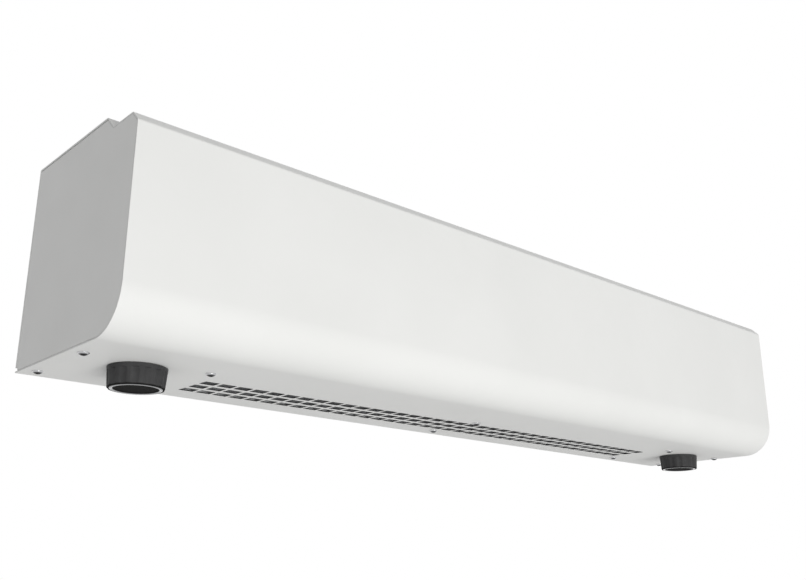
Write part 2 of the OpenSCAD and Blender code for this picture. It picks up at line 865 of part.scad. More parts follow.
module heater_supports() color("lightgray") difference() {
    steps = floor((fin_pairs - 1) / support_fin_count);
    union() for (i = [-steps:steps])
        translate([
            i * support_fin_count * fin_pitch - sheet / 2,
            duct_front + fit,
            heater_height - support_height / 2
        ])
            cube([sheet, duct_width - 2 * fit, support_height]);
    for (rod = [front_rod_depth, rear_rod_depth])
        translate([-bulkhead_x, rod, heater_height]) rotate([0, 90, 0])
            cylinder(r = rod_r + fit, h = 2 * bulkhead_x);
}

module overheat_cutout() color("black")
    translate([bay_face_x, outlet_depth, cutout_height]) rotate([0, 90, 0]) {
        cylinder(r = cutout_r, h = cutout_len);
        translate([0, 0, -cutout_cap_len]) cylinder(r = cutout_cap_r, h = cutout_cap_len + over);
        for (side = [-1, 1])
            translate([-tab_width / 2, side * cutout_r / 2 - tab_thickness / 2, cutout_len - over])
                cube([tab_width, tab_thickness, tab_len + over]);
    }

// Controls
knob_len = knob_height - knob_gap;
knob_end_r = knob_r - knob_taper;
module spindle() difference() {
    translate([0, 0, -knob_gap - knob_bore_depth])
        cylinder(r = spindle_r, h = knob_gap + knob_bore_depth + spindle_top);
    translate([spindle_r - flat_cut, -spindle_r, -knob_gap - knob_bore_depth - over])
        cube([2 * flat_cut, 2 * spindle_r, knob_bore_depth + over]);
}
module knob() translate([0, 0, -knob_gap]) mirror([0, 0, 1]) difference() {
    body_r = knob_r - knob_taper * knob_collar / knob_len;
    cavity_r = knob_end_r - cavity_wall + seam;
    union() {
        cylinder(r1 = knob_r, r2 = knob_end_r, h = knob_len - knob_bevel);
        translate([0, 0, knob_len - knob_bevel])
            cylinder(r1 = knob_end_r, r2 = knob_end_r - knob_bevel, h = knob_bevel);
    }
    for (i = [0:knob_flutes - 1])
        rotate(i * 360 / knob_flutes)
            translate([body_r + flute_r - flute_cut, 0, knob_collar])
                rotate([0, -atan(knob_taper / knob_len), 0])
                    cylinder(r = flute_r, h = knob_height);
    difference() {
        translate([0, 0, -over]) cylinder(r = cavity_r, h = cavity_depth + over);
        translate([0, 0, knob_gap]) cylinder(r = knob_boss_r, h = cavity_depth);
    }
    difference() {
        translate([0, 0, -over]) cylinder(r = spindle_r + snug, h = knob_bore_depth + over);
        translate([spindle_r - flat_cut + snug, -knob_boss_r, -2 * over])
            cube([knob_boss_r, 2 * knob_boss_r, knob_bore_depth + 4 * over]);
    }
    translate([0, 0, knob_len - ring_depth])
        ring(ring_r + snug, ring_r - ring_width - snug, ring_depth + over);
    translate([0, 0, knob_len - dish_depth])
        cylinder(r = ring_r - ring_width - dish_margin, h = dish_depth + over);
}
module knob_ring() translate([0, 0, -knob_height - ring_proud])
    ring(ring_r, ring_r - ring_width, ring_depth + ring_proud);
module control_screws() for (way = [-1, 1])
    translate([way * control_screw_offset, 0, 0])
        pan_screw(control_head_r, control_head_height, control_screw_r, control_screw_len);
module control_cuts(depth) {
    translate([0, 0, -over]) cylinder(r = spindle_r + fit, h = spindle_top + seam + over);
    for (way = [-1, 1])
        translate([way * control_screw_offset, 0, -over])
            cylinder(r = control_screw_r + fit, h = depth + seam + over);
}

module thermostat() color("darkslategray") under_knob(-1) difference() {
    size = thermostat_size;
    union() {
        translate([-size.x / 2 + thermostat_corner, -size.y / 2, sheet])
            cube([size.x - 2 * thermostat_corner, size.y, size.z]);
        translate([-size.x / 2, -size.y / 2 + thermostat_corner, sheet])
            cube([size.x, size.y - 2 * thermostat_corner, size.z]);
        translate([0, 0, sheet + size.z - over]) cylinder(r = cup_r, h = cup_len + over);
        translate([0, 0, sheet + size.z + cup_len])
            cylinder(r1 = cup_r, r2 = cup_r - cup_bevel, h = cup_bevel);
        for (way = [-1, 0, 1])
            translate([
                way * tab_step - tab_thickness / 2,
                size.y / 2 - tab_thickness,
                sheet + size.z / 2
            ])
                cube([tab_thickness, tab_len, tab_width]);
    }
    control_cuts(control_screw_len);
}
module thermostat_spindle() color("silver") under_knob(-1) spindle();
module thermostat_knob() color("dimgray") under_knob(-1) knob();
module thermostat_knob_ring() color("silver") under_knob(-1) knob_ring();
module thermostat_screws() color("silver") under_knob(-1) control_screws();

module mode_switch() color("darkslategray") under_knob(1) difference() {
    base = mode_base;
    union() {
        translate([-base.x / 2, -base.y / 2, sheet]) cube(base);
        translate([0, 0, sheet + base.z - over]) cylinder(r = mode_deck_r, h = mode_deck_len + over);
        for (turn = [45:90:315])
            rotate(turn)
                translate([
                    mode_deck_r - tab_thickness,
                    -tab_width / 2,
                    sheet + base.z + mode_deck_len / 2
                ])
                    cube([tab_len, tab_width, tab_thickness]);
    }
    control_cuts(control_screw_len);
    for (i = [1:2])
        translate([0, 0, sheet + base.z + i * mode_groove_step])
            ring(mode_deck_r + over, mode_deck_r - mode_groove, mode_groove_width);
}
module mode_spindle() color("silver") under_knob(1) spindle();
module mode_knob() color("dimgray") under_knob(1) knob();
module mode_knob_ring() color("silver") under_knob(1) knob_ring();
module mode_switch_screws() color("silver") under_knob(1) control_screws();

// Thermostat bulb in the intake, with its capillary down to the thermostat
bulb_height = top_face - bulb_drop;
bulb_start = bay_face_x + bulb_proud;
module thermostat_bulb() color("peru") at_left() {
    translate([bulb_start - bulb_len, bulb_depth, bulb_height]) rotate([0, 90, 0])
        cylinder(r = bulb_r - seam, h = bulb_len);
    wire(
        [bulb_start - over, bulb_depth, bulb_height], [1, 0, 0],
        capillary_stops,
        [knob_x, knob_depth, sheet + thermostat_size.z + cup_len + cup_bevel], [0, 0, 1],
        capillary_r);
}
module bulb_clips() color("silver")
    for (share = bulb_clip_shares)
        translate([-bulb_start + share * bulb_len, bulb_depth, bulb_height])
            difference() {
                union() {
                    rotate([0, 90, 0])
                        cylinder(r = bulb_r + bulb_clip_thickness, h = bulb_clip_width, center = true);
                    translate([-bulb_clip_width / 2, -bulb_clip_thickness, bulb_r])
                        cube([
                            bulb_clip_width,
                            2 * bulb_clip_thickness,
                            bulb_drop - bulb_r - sheet
                        ]);
                }
                rotate([0, 90, 0])
                    cylinder(r = bulb_r - seam + fit, h = bulb_clip_width + 2 * over, center = true);
            }

// Mains connections on the chassis's back, in the right bay
block_x = case_half - block_inset;
function pole_place(i) = [
    block_x + (i - (pole_count - 1) / 2) * block_size.x / pole_count,
    back_face - block_size.y,
    block_height
];
module at_poles() for (i = [0:pole_count - 1]) translate(pole_place(i)) children();
module terminal_block() color("ivory") difference() {
    translate([block_x - block_size.x / 2, back_face - block_size.y, block_height - block_size.z / 2])
        cube(block_size);
    at_poles() {
        translate([-pole_size / 2, -over, -block_size.z / 2 - over])
            cube([pole_size, pole_depth + over, block_size.z + 2 * over]);
        translate([-clamp_size / 2 - fit, 0, -clamp_len / 2 - fit])
            cube([clamp_size + 2 * fit, pole_depth + clamp_size + fit, clamp_len + 2 * fit]);
        translate([0, pole_depth + clamp_size / 2, -block_size.z / 2 - over])
            cylinder(r = wire_hole_r, h = block_size.z + 2 * over);
    }
}
module terminal_clamps() color("goldenrod") at_poles() {
    translate([-clamp_size / 2, pole_depth, -clamp_len / 2]) cube([clamp_size, clamp_size, clamp_len]);
    for (way = [-1, 1])
        translate([0, pole_depth - clamp_screw_len, way * clamp_len / 4]) rotate([-90, 0, 0])
            cylinder(r = clamp_screw_r, h = clamp_screw_len + over);
}
module earth_stud() color("goldenrod")
    translate([case_half - earth_inset, back_face, earth_height]) rotate([90, 0, 0]) {
        cylinder(r = earth_r, h = earth_len);
        cylinder(r = earth_washer_r, h = earth_washer_thickness);
        for (i = [0, 1])
            translate([0, 0, earth_washer_thickness + i * earth_nut_step])
                hex(earth_nut_r, earth_nut_len);
        translate([-earth_tag_width / 2, earth_washer_r - over, 0])
            cube([earth_tag_width, earth_tag_len + over, earth_washer_thickness]);
        translate([0, earth_washer_r + earth_tag_len - over, earth_barrel_r]) rotate([-90, 0, 0])
            cylinder(r = earth_barrel_r, h = earth_barrel_len + over);
    }

// Cable gland on the top, in the right bay
module gland_axis() translate([case_half - gland_inset, case_depth - gland_wall_gap, case_height])
    children();
gland_bore_r = gland_r - gland_wall;
gland_top = gland_hex_len + gland_top_len;
module gland_body() color("dimgray") gland_axis() difference() {
    union() {
        hex(gland_hex_r, gland_hex_len);
        translate([0, 0, -gland_thread_len]) cylinder(r = gland_r, h = gland_thread_len + over);
        cylinder(r = gland_r, h = gland_top);
    }
    translate([0, 0, -gland_thread_len - over])
        cylinder(r = gland_bore_r, h = gland_thread_len + gland_top + 2 * over);
}
module gland_locknut() color("dimgray") gland_axis()
    translate([0, 0, -sheet - locknut_len]) hex_nut(gland_hex_r, gland_r + fit, locknut_len);
module gland_nut() color("dimgray") gland_axis() translate([0, 0, gland_hex_len + seam])
    difference() {
        union() {
            cylinder(r = dome_r, h = dome_len - dome_bevel);
            translate([0, 0, dome_len - dome_bevel])
                cylinder(r1 = dome_r, r2 = dome_r - dome_bevel, h = dome_bevel);
        }
        translate([0, 0, -over]) cylinder(r = gland_r + fit, h = dome_len - dome_lid + over);
        translate([0, 0, -over]) cylinder(r = gland_bore_r, h = dome_len + 2 * over);
    }
module gland_seal() color("black") gland_axis()
    translate([0, 0, gland_top - gland_top_len])
        ring(gland_bore_r - snug, cable_r, gland_top_len);

// Loom through both bulkheads, and the leads that fan out of it in each bay
loom_end = bay_face_x + loom_tail;
module wiring_loom() color("black") translate([-loom_end, loom_depth, loom_height])
    rotate([0, 90, 0]) cylinder(r = loom_r, h = 2 * loom_end);
module loom_grommets() color("dimgray") both_ends()
    translate([bulkhead_x - loom_flange_len, loom_depth, loom_height]) rotate([0, 90, 0])
        spool(
            loom_flange_r, grommet_hole_r - snug, loom_r + fit,
            loom_flange_len, sheet, loom_flange_len);

lead_offset = loom_r / 2;
function loom_face(dy, dz) = [loom_end, loom_depth + dy * lead_offset, loom_height + dz * lead_offset];
function rod_face(depth) = [bay_face_x + rod_end + terminal_len, depth, heater_height];
function thermostat_tab(way) = [
    knob_x + way * tab_step,
    knob_depth + thermostat_size.y / 2 - tab_thickness + tab_len,
    sheet + thermostat_size.z / 2 + tab_width / 2
];
function mode_tab(turn) = [
    knob_x + (mode_deck_r - tab_thickness + tab_len) * cos(turn),
    knob_depth + (mode_deck_r - tab_thickness + tab_len) * sin(turn),
    sheet + mode_base.z + mode_deck_len / 2 + tab_thickness / 2
];
function cutout_tab(way) = [
    bay_face_x + cutout_len + tab_len,
    outlet_depth + way * cutout_r / 2,
    cutout_height
];
up = [0, 0, 1];
function out(turn) = [cos(turn), sin(turn), 0];
function clamp_face(i, way) =
    pole_place(i) + [0, pole_depth + clamp_size / 2, way * clamp_len / 2];
module left_leads() color("firebrick") at_left() {
    wire(
        loom_face(1, 1), [1, 0, 0],
        capacitor_stops,
        [
            bay_face_x + capacitor_len + tab_len,
            capacitor_depth - capacitor_r / 2,
            capacitor_height
        ], [1, 0, 0],
        lead_r);
    wire(
        loom_face(1, -1), [1, 0, 0],
        motor_stops,
        [
            bay_face_x + stator_end + winding_len / 2,
            fan_depth,
            fan_height - motor_r + shield_wall + seam
        ], [0, 0, -1],
        lead_r);
    wire(loom_face(-1, -1), [1, 0, 0], front_rod_stops, rod_face(front_rod_depth), [1, 0, 0], lead_r);
    wire(loom_face(-1, 1), [1, 0, 0], thermostat_stops, thermostat_tab(1), [0, 1, 0], lead_r);
    wire(
        rod_face(rear_rod_depth), [1, 0, 0], rear_rod_stops, thermostat_tab(-1), [0, 1, 0],
        lead_r);
}
module right_leads() color("firebrick") {
    wire(loom_face(1, 1), [1, 0, 0], supply_stops, clamp_face(0, 1), up, lead_r);
    wire(loom_face(-1, -1), [1, 0, 0], mode_stops, mode_tab(225), out(225), lead_r);
    wire(mode_tab(135), out(135), mode_rod_stops, rod_face(rear_rod_depth), [1, 0, 0], lead_r);
    wire(mode_tab(45), out(45), mode_supply_stops, clamp_face(3, -1), -up, lead_r);
    wire(
        rod_face(front_rod_depth), [1, 0, 0], cutout_rod_stops, cutout_tab(-1), [1, 0, 0],
        lead_r);
    wire(cutout_tab(1), [1, 0, 0], cutout_supply_stops, clamp_face(2, -1), -up, lead_r);
    wire(
        [
            case_half - earth_inset,
            back_face - earth_barrel_r,
            earth_height + earth_washer_r + earth_tag_len + earth_barrel_len
        ], up,
        [],
        clamp_face(1, -1), -up,
        lead_r);
}

in_frame() front_cover();
in_frame() chassis();
in_frame() left_end_panel();
in_frame() right_end_panel();
in_frame() casing_screws();
in_frame() left_bulkhead();
in_frame() right_bulkhead();
in_frame() fan_scroll();
in_frame() fan_tongue();
in_frame() impeller();
in_frame() drive_coupling();
in_frame() stub_shaft();
in_frame() shaft_bearing();
in_frame() bearing_bush();
in_frame() motor_front_shield();
in_frame() motor_rear_shield();
in_frame() motor_stator();
in_frame() motor_winding();
in_frame() motor_rotor();
in_frame() motor_shaft();
in_frame() motor_bearings();
in_frame() motor_bolts();
in_frame() motor_grommets();
in_frame() motor_spacers();
in_frame() motor_screws();
in_frame() motor_nuts();
in_frame() run_capacitor();
in_frame() capacitor_nut();
in_frame() front_heater();
in_frame() rear_heater();
in_frame() heater_bushes();
in_frame() heater_terminals();
in_frame() heater_supports();
in_frame() overheat_cutout();
in_frame() thermostat();
in_frame() thermostat_spindle();
in_frame() thermostat_knob();
in_frame() thermostat_knob_ring();
in_frame() thermostat_screws();
in_frame() thermostat_bulb();
in_frame() bulb_clips();
in_frame() mode_switch();
in_frame() mode_spindle();
in_frame() mode_knob();
in_frame() mode_knob_ring();
in_frame() mode_switch_screws();
in_frame() terminal_block();
in_frame() terminal_clamps();
in_frame() earth_stud();
in_frame() gland_body();
in_frame() gland_locknut();
in_frame() gland_nut();
in_frame() gland_seal();
in_frame() wiring_loom();
in_frame() loom_grommets();
in_frame() left_leads();
in_frame() right_leads();
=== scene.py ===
import bmesh
import bpy
import json
from math import atan2, cos, degrees, hypot, radians, sin, sqrt
from mathutils import Matrix, Vector


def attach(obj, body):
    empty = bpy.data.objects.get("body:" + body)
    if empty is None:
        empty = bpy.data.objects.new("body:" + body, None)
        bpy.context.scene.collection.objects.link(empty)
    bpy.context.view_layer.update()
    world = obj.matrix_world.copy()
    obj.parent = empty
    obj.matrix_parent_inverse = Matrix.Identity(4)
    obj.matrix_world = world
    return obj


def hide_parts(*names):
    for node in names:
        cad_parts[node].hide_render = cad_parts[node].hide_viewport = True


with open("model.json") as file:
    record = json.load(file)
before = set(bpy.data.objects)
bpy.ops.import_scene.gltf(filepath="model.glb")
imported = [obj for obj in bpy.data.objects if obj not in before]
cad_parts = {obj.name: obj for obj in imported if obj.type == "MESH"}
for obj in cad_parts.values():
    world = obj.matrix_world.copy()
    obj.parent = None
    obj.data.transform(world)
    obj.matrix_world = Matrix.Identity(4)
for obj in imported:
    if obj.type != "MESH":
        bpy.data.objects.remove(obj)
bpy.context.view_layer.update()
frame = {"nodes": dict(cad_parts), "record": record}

# Lengths are in millimetres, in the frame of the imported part
# The casing: half its length, and where its front, back, bottom, top and front ledge lie
HALF = 400
FRONT, WALL, BOTTOM, TOP, LEDGE = -162, 0, -85, 74, 63.3
# The sheet, its seams, its round bend, the bevel and the foot of the step behind the ledge
SHEET = 1
SEAM, OPEN_SEAM = 0.3, 0.5
BEND = 32
BEVEL = 8.2
NOTCH = -125.9
# The step from the ledge to the top, the lip under the ledge and the fold under the bottom
STEP = 10.7
LIP = 13
REAR_FOLD = 23.5
# The end panels: where their folds begin and end, and how deep the folds are
FOLD_FRONT, FOLD_REAR = -120, -25.5
RELIEF_TOP, RELIEF_REAR = -81.4, -3.9
BOTTOM_FOLD, OTHER_FOLD = 18, 16
CORNER_CUT, STEP_INSET = 7.4385, 0.5385
# Punched slots
SLOT_PITCH = 15
SLOT_COLUMNS = 38
SLOT_LENGTH, SLOT_WIDTH = 12.5, 10.5
OUTLET_ROWS = [-62.5, -47, -31.5]
INTAKE_ROWS = [-88.6, -73.1, -57.6, -42.1, -26.6]
# Screws, knobs, gland and wall holes
END_SCREW = (390.5, -93.5)
REAR_SCREW_LINE = -18
SCREWS = [
    (side * x, y) for side in (-1, 1) for x in (END_SCREW[0], 295)
    for y in (END_SCREW[1], REAR_SCREW_LINE)]
SCREWS += [(0, -76), (0, REAR_SCREW_LINE)]
# A screw's head, and its thread
HEAD_RADIUS, HEAD_RIM, HEAD_HEIGHT = 3.9, 0.6, 2.4
DOME_SHARES = (0.88, 0.74, 0.58, 0.40, 0.20)
THREAD_RADIUS, THREAD_LENGTH = 1.65, 8
RECESS_LENGTH, RECESS_WIDTH, RECESS_BLOCK, RECESS_LIFT = 4.2, 0.9, 2.6, 0.2
TURN_BETWEEN_SCREWS = 47
KNOB_X, KNOB_Y = 342.6, -75
KNOB_SCREW_GAP = 12.5
GLAND_X, GLAND_Y = 350, -32
WALL_HOLES = [(x, z) for x in (-378, 378) for z in (-45, 45)]
# The radii of the holes, and a length that goes right through a sheet
SCREW_HOLE, THREAD_HOLE, SPINDLE_HOLE, WALL_HOLE, GLAND_HOLE = 2.1, 1.7, 4.2, 3.25, 10.3
DRILL = 6
# The knobs, as depths below the casing and radii
KNOB_RADIUS, KNOB_END_RADIUS, FLUTE_RADIUS = 21, 19.8, 6
KNOB_GAP, COLLAR_DEPTH, RIM_START, KNOB_DEPTH = 0.5, 3.1, 14.6, 15.4
FLUTED_DEPTHS = (3.35, 8.5, RIM_START, 14.9, 15.15, 15.32)
FLUTE_ANGLE, POINT_ANGLE, LINES_A_FLUTE = 24, 1.5, 9
FLUTE_LIFT = KNOB_RADIUS + FLUTE_RADIUS - 1.11
SKIRT, SKIRT_DEPTH, HUB, HUB_DEPTH = 4.1, 9, 10.9, 8.5
SUNK_FACE = (
    (18.5, KNOB_DEPTH), (18.4, 15.0), (15.8, 15.0), (15.7, 15.3), (15.45, KNOB_DEPTH),
    (15.1, 15.3), (14.6, 14.8), (3.0, 14.7))
RING_RADIUS, RING_WIDTH, RING_DEPTH, RING_TOP = 17.1, 2.4, 15.05, 14.9
# The gland's hexagon and dome nut, as heights above the casing and radii
HEXAGON_RADIUS, HEXAGON_HEIGHT, GLAND_BORE = 14, 5, 7
NUT_RADIUS, NUT_FOOT, NUT_SHOULDER, NUT_BORE = 13, 5.3, 12.3, 10.05
NUT_DOME = (
    (12.55, 12.8), (12.4, 14.0), (11.9, 15.6), (11.0, 16.9), (9.9, 17.8), (8.6, 18.2),
    (7.2, 18.3))
RIB_ANGLE, RIB_GAP_ANGLE, RIB_SHARE = 15, 8, 0.955
NECK_STEP, NECK_ABOVE, NECK_BELOW = 2.1, 8, 9
# The studio, in metres: the floor, the lamp and the light of the room
FLOOR_SIZE, FLOOR_HEIGHT, FLOOR_TONE, FLOOR_WHITENESS = 14, -1.7, 0.85, 0.6
LAMP_PLACE, LAMP_WIDTH, LAMP_DEPTH, LAMP_POWER = (-0.42, -2.51, -1.1), 1.6, 1.0, 40.7
ROOM_TONE = 0.43
# The camera, solved from the photograph's edges: place in metres, angles in degrees
CAMERA_PLACE = (-0.6357, -0.6746, -0.2308)
CAMERA_TURN, CAMERA_TILT, CAMERA_ROLL = 42.2068, 17.5949, 0.0648
LENS, SENSOR = 41.77, 36


# Working by hand on a mesh

def metres(*lengths):
    """Lengths in millimetres as a vector in metres."""
    return Vector(lengths) / 1000


def put_down():
    """Nothing is selected."""
    bpy.ops.object.select_all(action="DESELECT")


def take(piece):
    """Only this piece is selected and worked on."""
    put_down()
    piece.select_set(True)
    bpy.context.view_layer.objects.active = piece


def open_mesh(piece):
    """Starts work on this piece's mesh."""
    take(piece)
    bpy.ops.object.mode_set(mode="EDIT")


def close_mesh():
    """Ends work on the open mesh."""
    bpy.ops.object.mode_set(mode="OBJECT")


def named(name, *size):
    """Names the new primitive, gives it its size and puts its place into its mesh."""
    piece = bpy.context.active_object
    piece.name = piece.data.name = name
    if size:
        piece.scale = size
    bpy.ops.object.transform_apply(location=True, rotation=True, scale=True)
    return piece


def pick(kind, test):
    """Selects the open mesh's faces, edges or points whose middle, in millimetres, passes."""
    piece = bpy.context.edit_object
    bpy.ops.mesh.select_mode(type=kind)
    bpy.ops.mesh.select_all(action="DESELECT")
    shape = bmesh.from_edit_mesh(piece.data)
    if kind == "FACE":
        parts = [(face, face.calc_center_median()) for face in shape.faces]
    elif kind == "EDGE":
        parts = [(edge, (edge.verts[0].co + edge.verts[1].co) / 2) for edge in shape.edges]
    else:
        parts = [(point, point.co) for point in shape.verts]
    for part, middle in parts:
        part.select_set(bool(test(middle * 1000)))
    shape.select_flush_mode()
    bmesh.update_edit_mesh(piece.data)


def near(a, b, room=0.02):
    """Tells whether two lengths in millimetres are the same but for rounding."""
    return abs(a - b) < room


def pull(*move):
    """Extrudes what is selected by a distance in millimetres."""
    bpy.ops.mesh.extrude_region_move(TRANSFORM_OT_translate={"value": metres(*move)})


def push(*move):
    """Moves what is selected by a distance in millimetres."""
    bpy.ops.transform.translate(value=metres(*move))


def widen(factor, *about):
    """Makes what is selected wider or narrower round a point in millimetres."""
    bpy.ops.transform.resize(value=(factor, factor, 1), center_override=metres(*about))


def score(test, at, across):
    """Cuts the chosen faces of the open mesh along a plane."""
    pick("FACE", test)
    bpy.ops.mesh.bisect(plane_co=metres(*at), plane_no=across)


def fold_round(radius, steps, test):
    """Rounds the chosen edges."""
    pick("EDGE", test)
    bpy.ops.mesh.bevel(offset=radius / 1000, segments=steps, affect="EDGES")


def tidy_mesh(outward=None):
    """Merges doubles and turns the open mesh's faces outward, toward a direction at its first face."""
    bpy.ops.mesh.select_all(action="SELECT")
    bpy.ops.mesh.remove_doubles(threshold=0.00001)
    bpy.ops.mesh.normals_make_consistent(inside=False)
    if outward:
        shape = bmesh.from_edit_mesh(bpy.context.edit_object.data)
        test, way = outward
        face = next(face for face in shape.faces if test(face.calc_center_median() * 1000))
        if face.normal.dot(Vector(way)) < 0:
            bpy.ops.mesh.flip_normals()


def modify(piece, kind, **settings):
    """Adds a modifier with its settings and applies it."""
    take(piece)
    bpy.ops.object.modifier_add(type=kind)
    step = piece.modifiers[-1]
    for name, value in settings.items():
        setattr(step, name, value)
    bpy.ops.object.modifier_apply(modifier=step.name)


def cut(piece, cutter):
    """Cuts one closed shape out of another, and the cutter goes."""
    modify(piece, "BOOLEAN", operation="DIFFERENCE", solver="EXACT", object=cutter)
    bpy.data.objects.remove(cutter)


def soften(piece, radius, steps=2, angle=40):
    """Rounds the sharp edges a little and shades the rest smooth."""
    modify(piece, "BEVEL", width=radius / 1000, segments=steps, limit_method="ANGLE",
           angle_limit=radians(angle), harden_normals=False)
    take(piece)
    bpy.ops.object.shade_smooth_by_angle(angle=radians(angle))
    modify(piece, "WEIGHTED_NORMAL", keep_sharp=True)


def copy_of(piece, name):
    """A second one, with its own mesh."""
    take(piece)
    bpy.ops.object.duplicate(linked=False)
    twin = bpy.context.active_object
    twin.name = twin.data.name = name
    return twin


def rods_and_blocks(rods, blocks=()):
    """One cutter of upright or level rods (x, y, z, radius, length, tilt) and of blocks."""
    put_down()
    first = True
    for x, y, z, radius, length, tilt in rods:
        bpy.ops.mesh.primitive_cylinder_add(
            vertices=32, radius=radius / 1000, depth=length / 1000,
            location=metres(x, y, z), rotation=(radians(tilt), 0, 0))
        if first:
            cutter = named("cutter")
            open_mesh(cutter)
            first = False
    for low, high in blocks:
        middle = (Vector(low) + Vector(high)) / 2
        bpy.ops.mesh.primitive_cube_add(size=0.001, location=middle / 1000)
        bpy.ops.transform.resize(
            value=Vector(high) - Vector(low), center_override=middle / 1000)
    close_mesh()
    return cutter


def fit_piece(piece, finish, body, *nodes):
    """Gives a finished piece its finish, its body and the nodes that it stands for."""
    if piece.data.materials:
        piece.data.materials[0] = FINISHES[finish]
    else:
        piece.data.materials.append(FINISHES[finish])
    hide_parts(*nodes)
    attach(piece, body)


# Finishes

class Value:
    """A number that changes over a surface. Sums on it add the nodes that work them out."""

    def __init__(self, finish, socket):
        self.finish, self.socket = finish, socket

    def math(self, operation, first, second):
        return self.finish.node("Math", {"operation": operation}, {0: first, 1: second})

    def __add__(self, other):
        return self.math("ADD", self, other)

    def __sub__(self, other):
        return self.math("SUBTRACT", self, other)

    def __rsub__(self, other):
        return self.math("SUBTRACT", other, self)

    def __mul__(self, other):
        return self.math("MULTIPLY", self, other)


class Finish:
    """One material: its shader, and the patterns that feed it."""

    def __init__(self, name, **even):
        self.material = bpy.data.materials.new(name)
        self.material.use_nodes = True
        self.tree = self.material.node_tree
        self.shader = self.tree.nodes["Principled BSDF"]
        for socket, value in even.items():
            self.shader.inputs[socket.replace("_", " ")].default_value = value
        self.here = self.node("TexCoord", output="Object")

    def node(self, kind, settings=None, inputs=None, output=0):
        """Adds a node: its settings first, then the values or links of its sockets."""
        made = self.tree.nodes.new("ShaderNode" + kind)
        for setting, value in (settings or {}).items():
            if setting == "stops":
                for place, colour in value[2:]:
                    made.color_ramp.elements.new(place)
                for stop, (place, colour) in zip(made.color_ramp.elements, sorted(value)):
                    stop.position, stop.color = place, (*colour, 1)
            else:
                setattr(made, setting, value)
        for socket, value in (inputs or {}).items():
            if isinstance(value, Value):
                self.tree.links.new(value.socket, made.inputs[socket])
            else:
                made.inputs[socket].default_value = value
        return Value(self, made.outputs[output])

    def stretched(self, x, y, z):
        """The place on the piece, stretched so that a pattern runs along it."""
        return self.node("Mapping", {}, {"Vector": self.here, "Scale": (1 / x, 1 / y, 1 / z)})

    def cloud(self, size, detail=3, rough=0.5, place=None):
        """Soft noise whose blotches are this many millimetres across, from 0 to 1."""
        return self.node("TexNoise", {}, {
            "Vector": place or self.here, "Scale": 1000 / size, "Detail": detail,
            "Roughness": rough})

    def crystals(self, size):
        """Flat crystals this many millimetres across."""
        return self.node("TexVoronoi", {}, {"Vector": self.here, "Scale": 1000 / size}, "Color")

    def spread(self, value, low, high, start=0.3, end=0.7):
        """A value taken from a pattern's middle range to the range between two numbers."""
        return self.node("MapRange", {}, {
            "Value": value, "From Min": start, "From Max": end, "To Min": low, "To Max": high})

    def blend(self, factor, first, second):
        """A colour between two colours."""
        mix = self.tree.nodes.new("ShaderNodeMix")
        mix.data_type = "RGBA"
        for socket, value in ((0, factor), (6, first), (7, second)):
            if isinstance(value, Value):
                self.tree.links.new(value.socket, mix.inputs[socket])
            else:
                mix.inputs[socket].default_value = (*value, 1)
        return Value(self, mix.outputs[2])

    def feed(self, **patterns):
        """Joins patterns to the shader's own sockets."""
        for socket, value in patterns.items():
            self.tree.links.new(value.socket, self.shader.inputs[socket.replace("_", " ")])

    def relief(self, height, depth, strength=1):
        """Bumps of this many millimetres."""
        bump = self.node("Bump", {}, {
            "Height": height, "Distance": depth / 1000, "Strength": strength}, "Normal")
        self.feed(Normal=bump)


def powder_coat():
    """White powder coat: satin, with a faint orange peel and a little unevenness in tone."""
    paint = Finish("casing_paint", Specular_IOR_Level=0.25)
    tone = paint.cloud(140, 4, 0.55)
    specks = paint.cloud(0.9, 2, 0.6)
    peel = paint.cloud(1.9, 2, 0.4)
    paint.feed(
        Base_Color=paint.blend(
            paint.spread(tone + (specks - 0.5) * 0.25, 0, 1),
            (0.835, 0.838, 0.828), (0.868, 0.870, 0.862)),
        Roughness=paint.spread(paint.cloud(26, 3), 0.50, 0.60))
    paint.relief(peel + specks * 0.3, 0.012)
    return paint.material


def bare_metal(name, dark, light, size, roughness, run=(1, 1, 1), relief=0.004, **even):
    """Metal with a grain: two tones, a grain size, a range of roughness and a direction."""
    metal = Finish(name, Metallic=1, **even)
    place = metal.stretched(*run)
    grain = metal.cloud(size, 4, 0.6, place)
    stain = metal.cloud(size * 22, 3, 0.55)
    metal.feed(
        Base_Color=metal.blend(metal.spread(grain * 0.45 + stain * 0.55, 0, 1), dark, light),
        Roughness=metal.spread(grain * 0.6 + stain * 0.4, *roughness))
    metal.relief(grain, relief)
    return metal.material


def shaded_screw_head():
    """Bright zinc on the flank of a head, and painted shade: near black over the low face of the dome,
    round the driver's recess.
    """
    head = Finish("shaded_screw_head", Metallic=1)
    grain = head.cloud(0.5, 4, 0.6)
    drop = head.node("SeparateXYZ", {}, {"Vector": head.here}, "Z")
    # Below this height, over the low face of the dome and round the recess, the colour is painted
    # shade
    flank_over_painted_shade = head.spread(drop + (grain - 0.5) * 0.0003, 0, 1, -0.0867, -0.0860)
    head.feed(
        Base_Color=head.blend(
            flank_over_painted_shade, (0.02, 0.02, 0.021),
            head.blend(grain, (0.58, 0.585, 0.60), (0.72, 0.725, 0.735))),
        Roughness=head.spread(grain, 0.14, 0.26))
    head.relief(grain, 0.004)
    return head.material


def galvanised():
    """Zinc coated sheet: flat crystals that shine differently, under a dull bloom."""
    zinc = Finish("zinc_sheet", Metallic=1)
    crystal = zinc.node("SeparateColor", {}, {"Color": zinc.crystals(9)}, "Red")
    small = zinc.node("SeparateColor", {}, {"Color": zinc.crystals(3.2)}, "Green")
    bloom = zinc.cloud(34, 4, 0.6)
    shine = crystal * 0.6 + small * 0.25 + bloom * 0.15
    zinc.feed(
        Base_Color=zinc.blend(shine, (0.50, 0.515, 0.535), (0.70, 0.71, 0.725)),
        Roughness=zinc.spread(shine, 0.52, 0.34, 0, 1))
    zinc.relief(zinc.cloud(0.7, 3), 0.006)
    return zinc.material


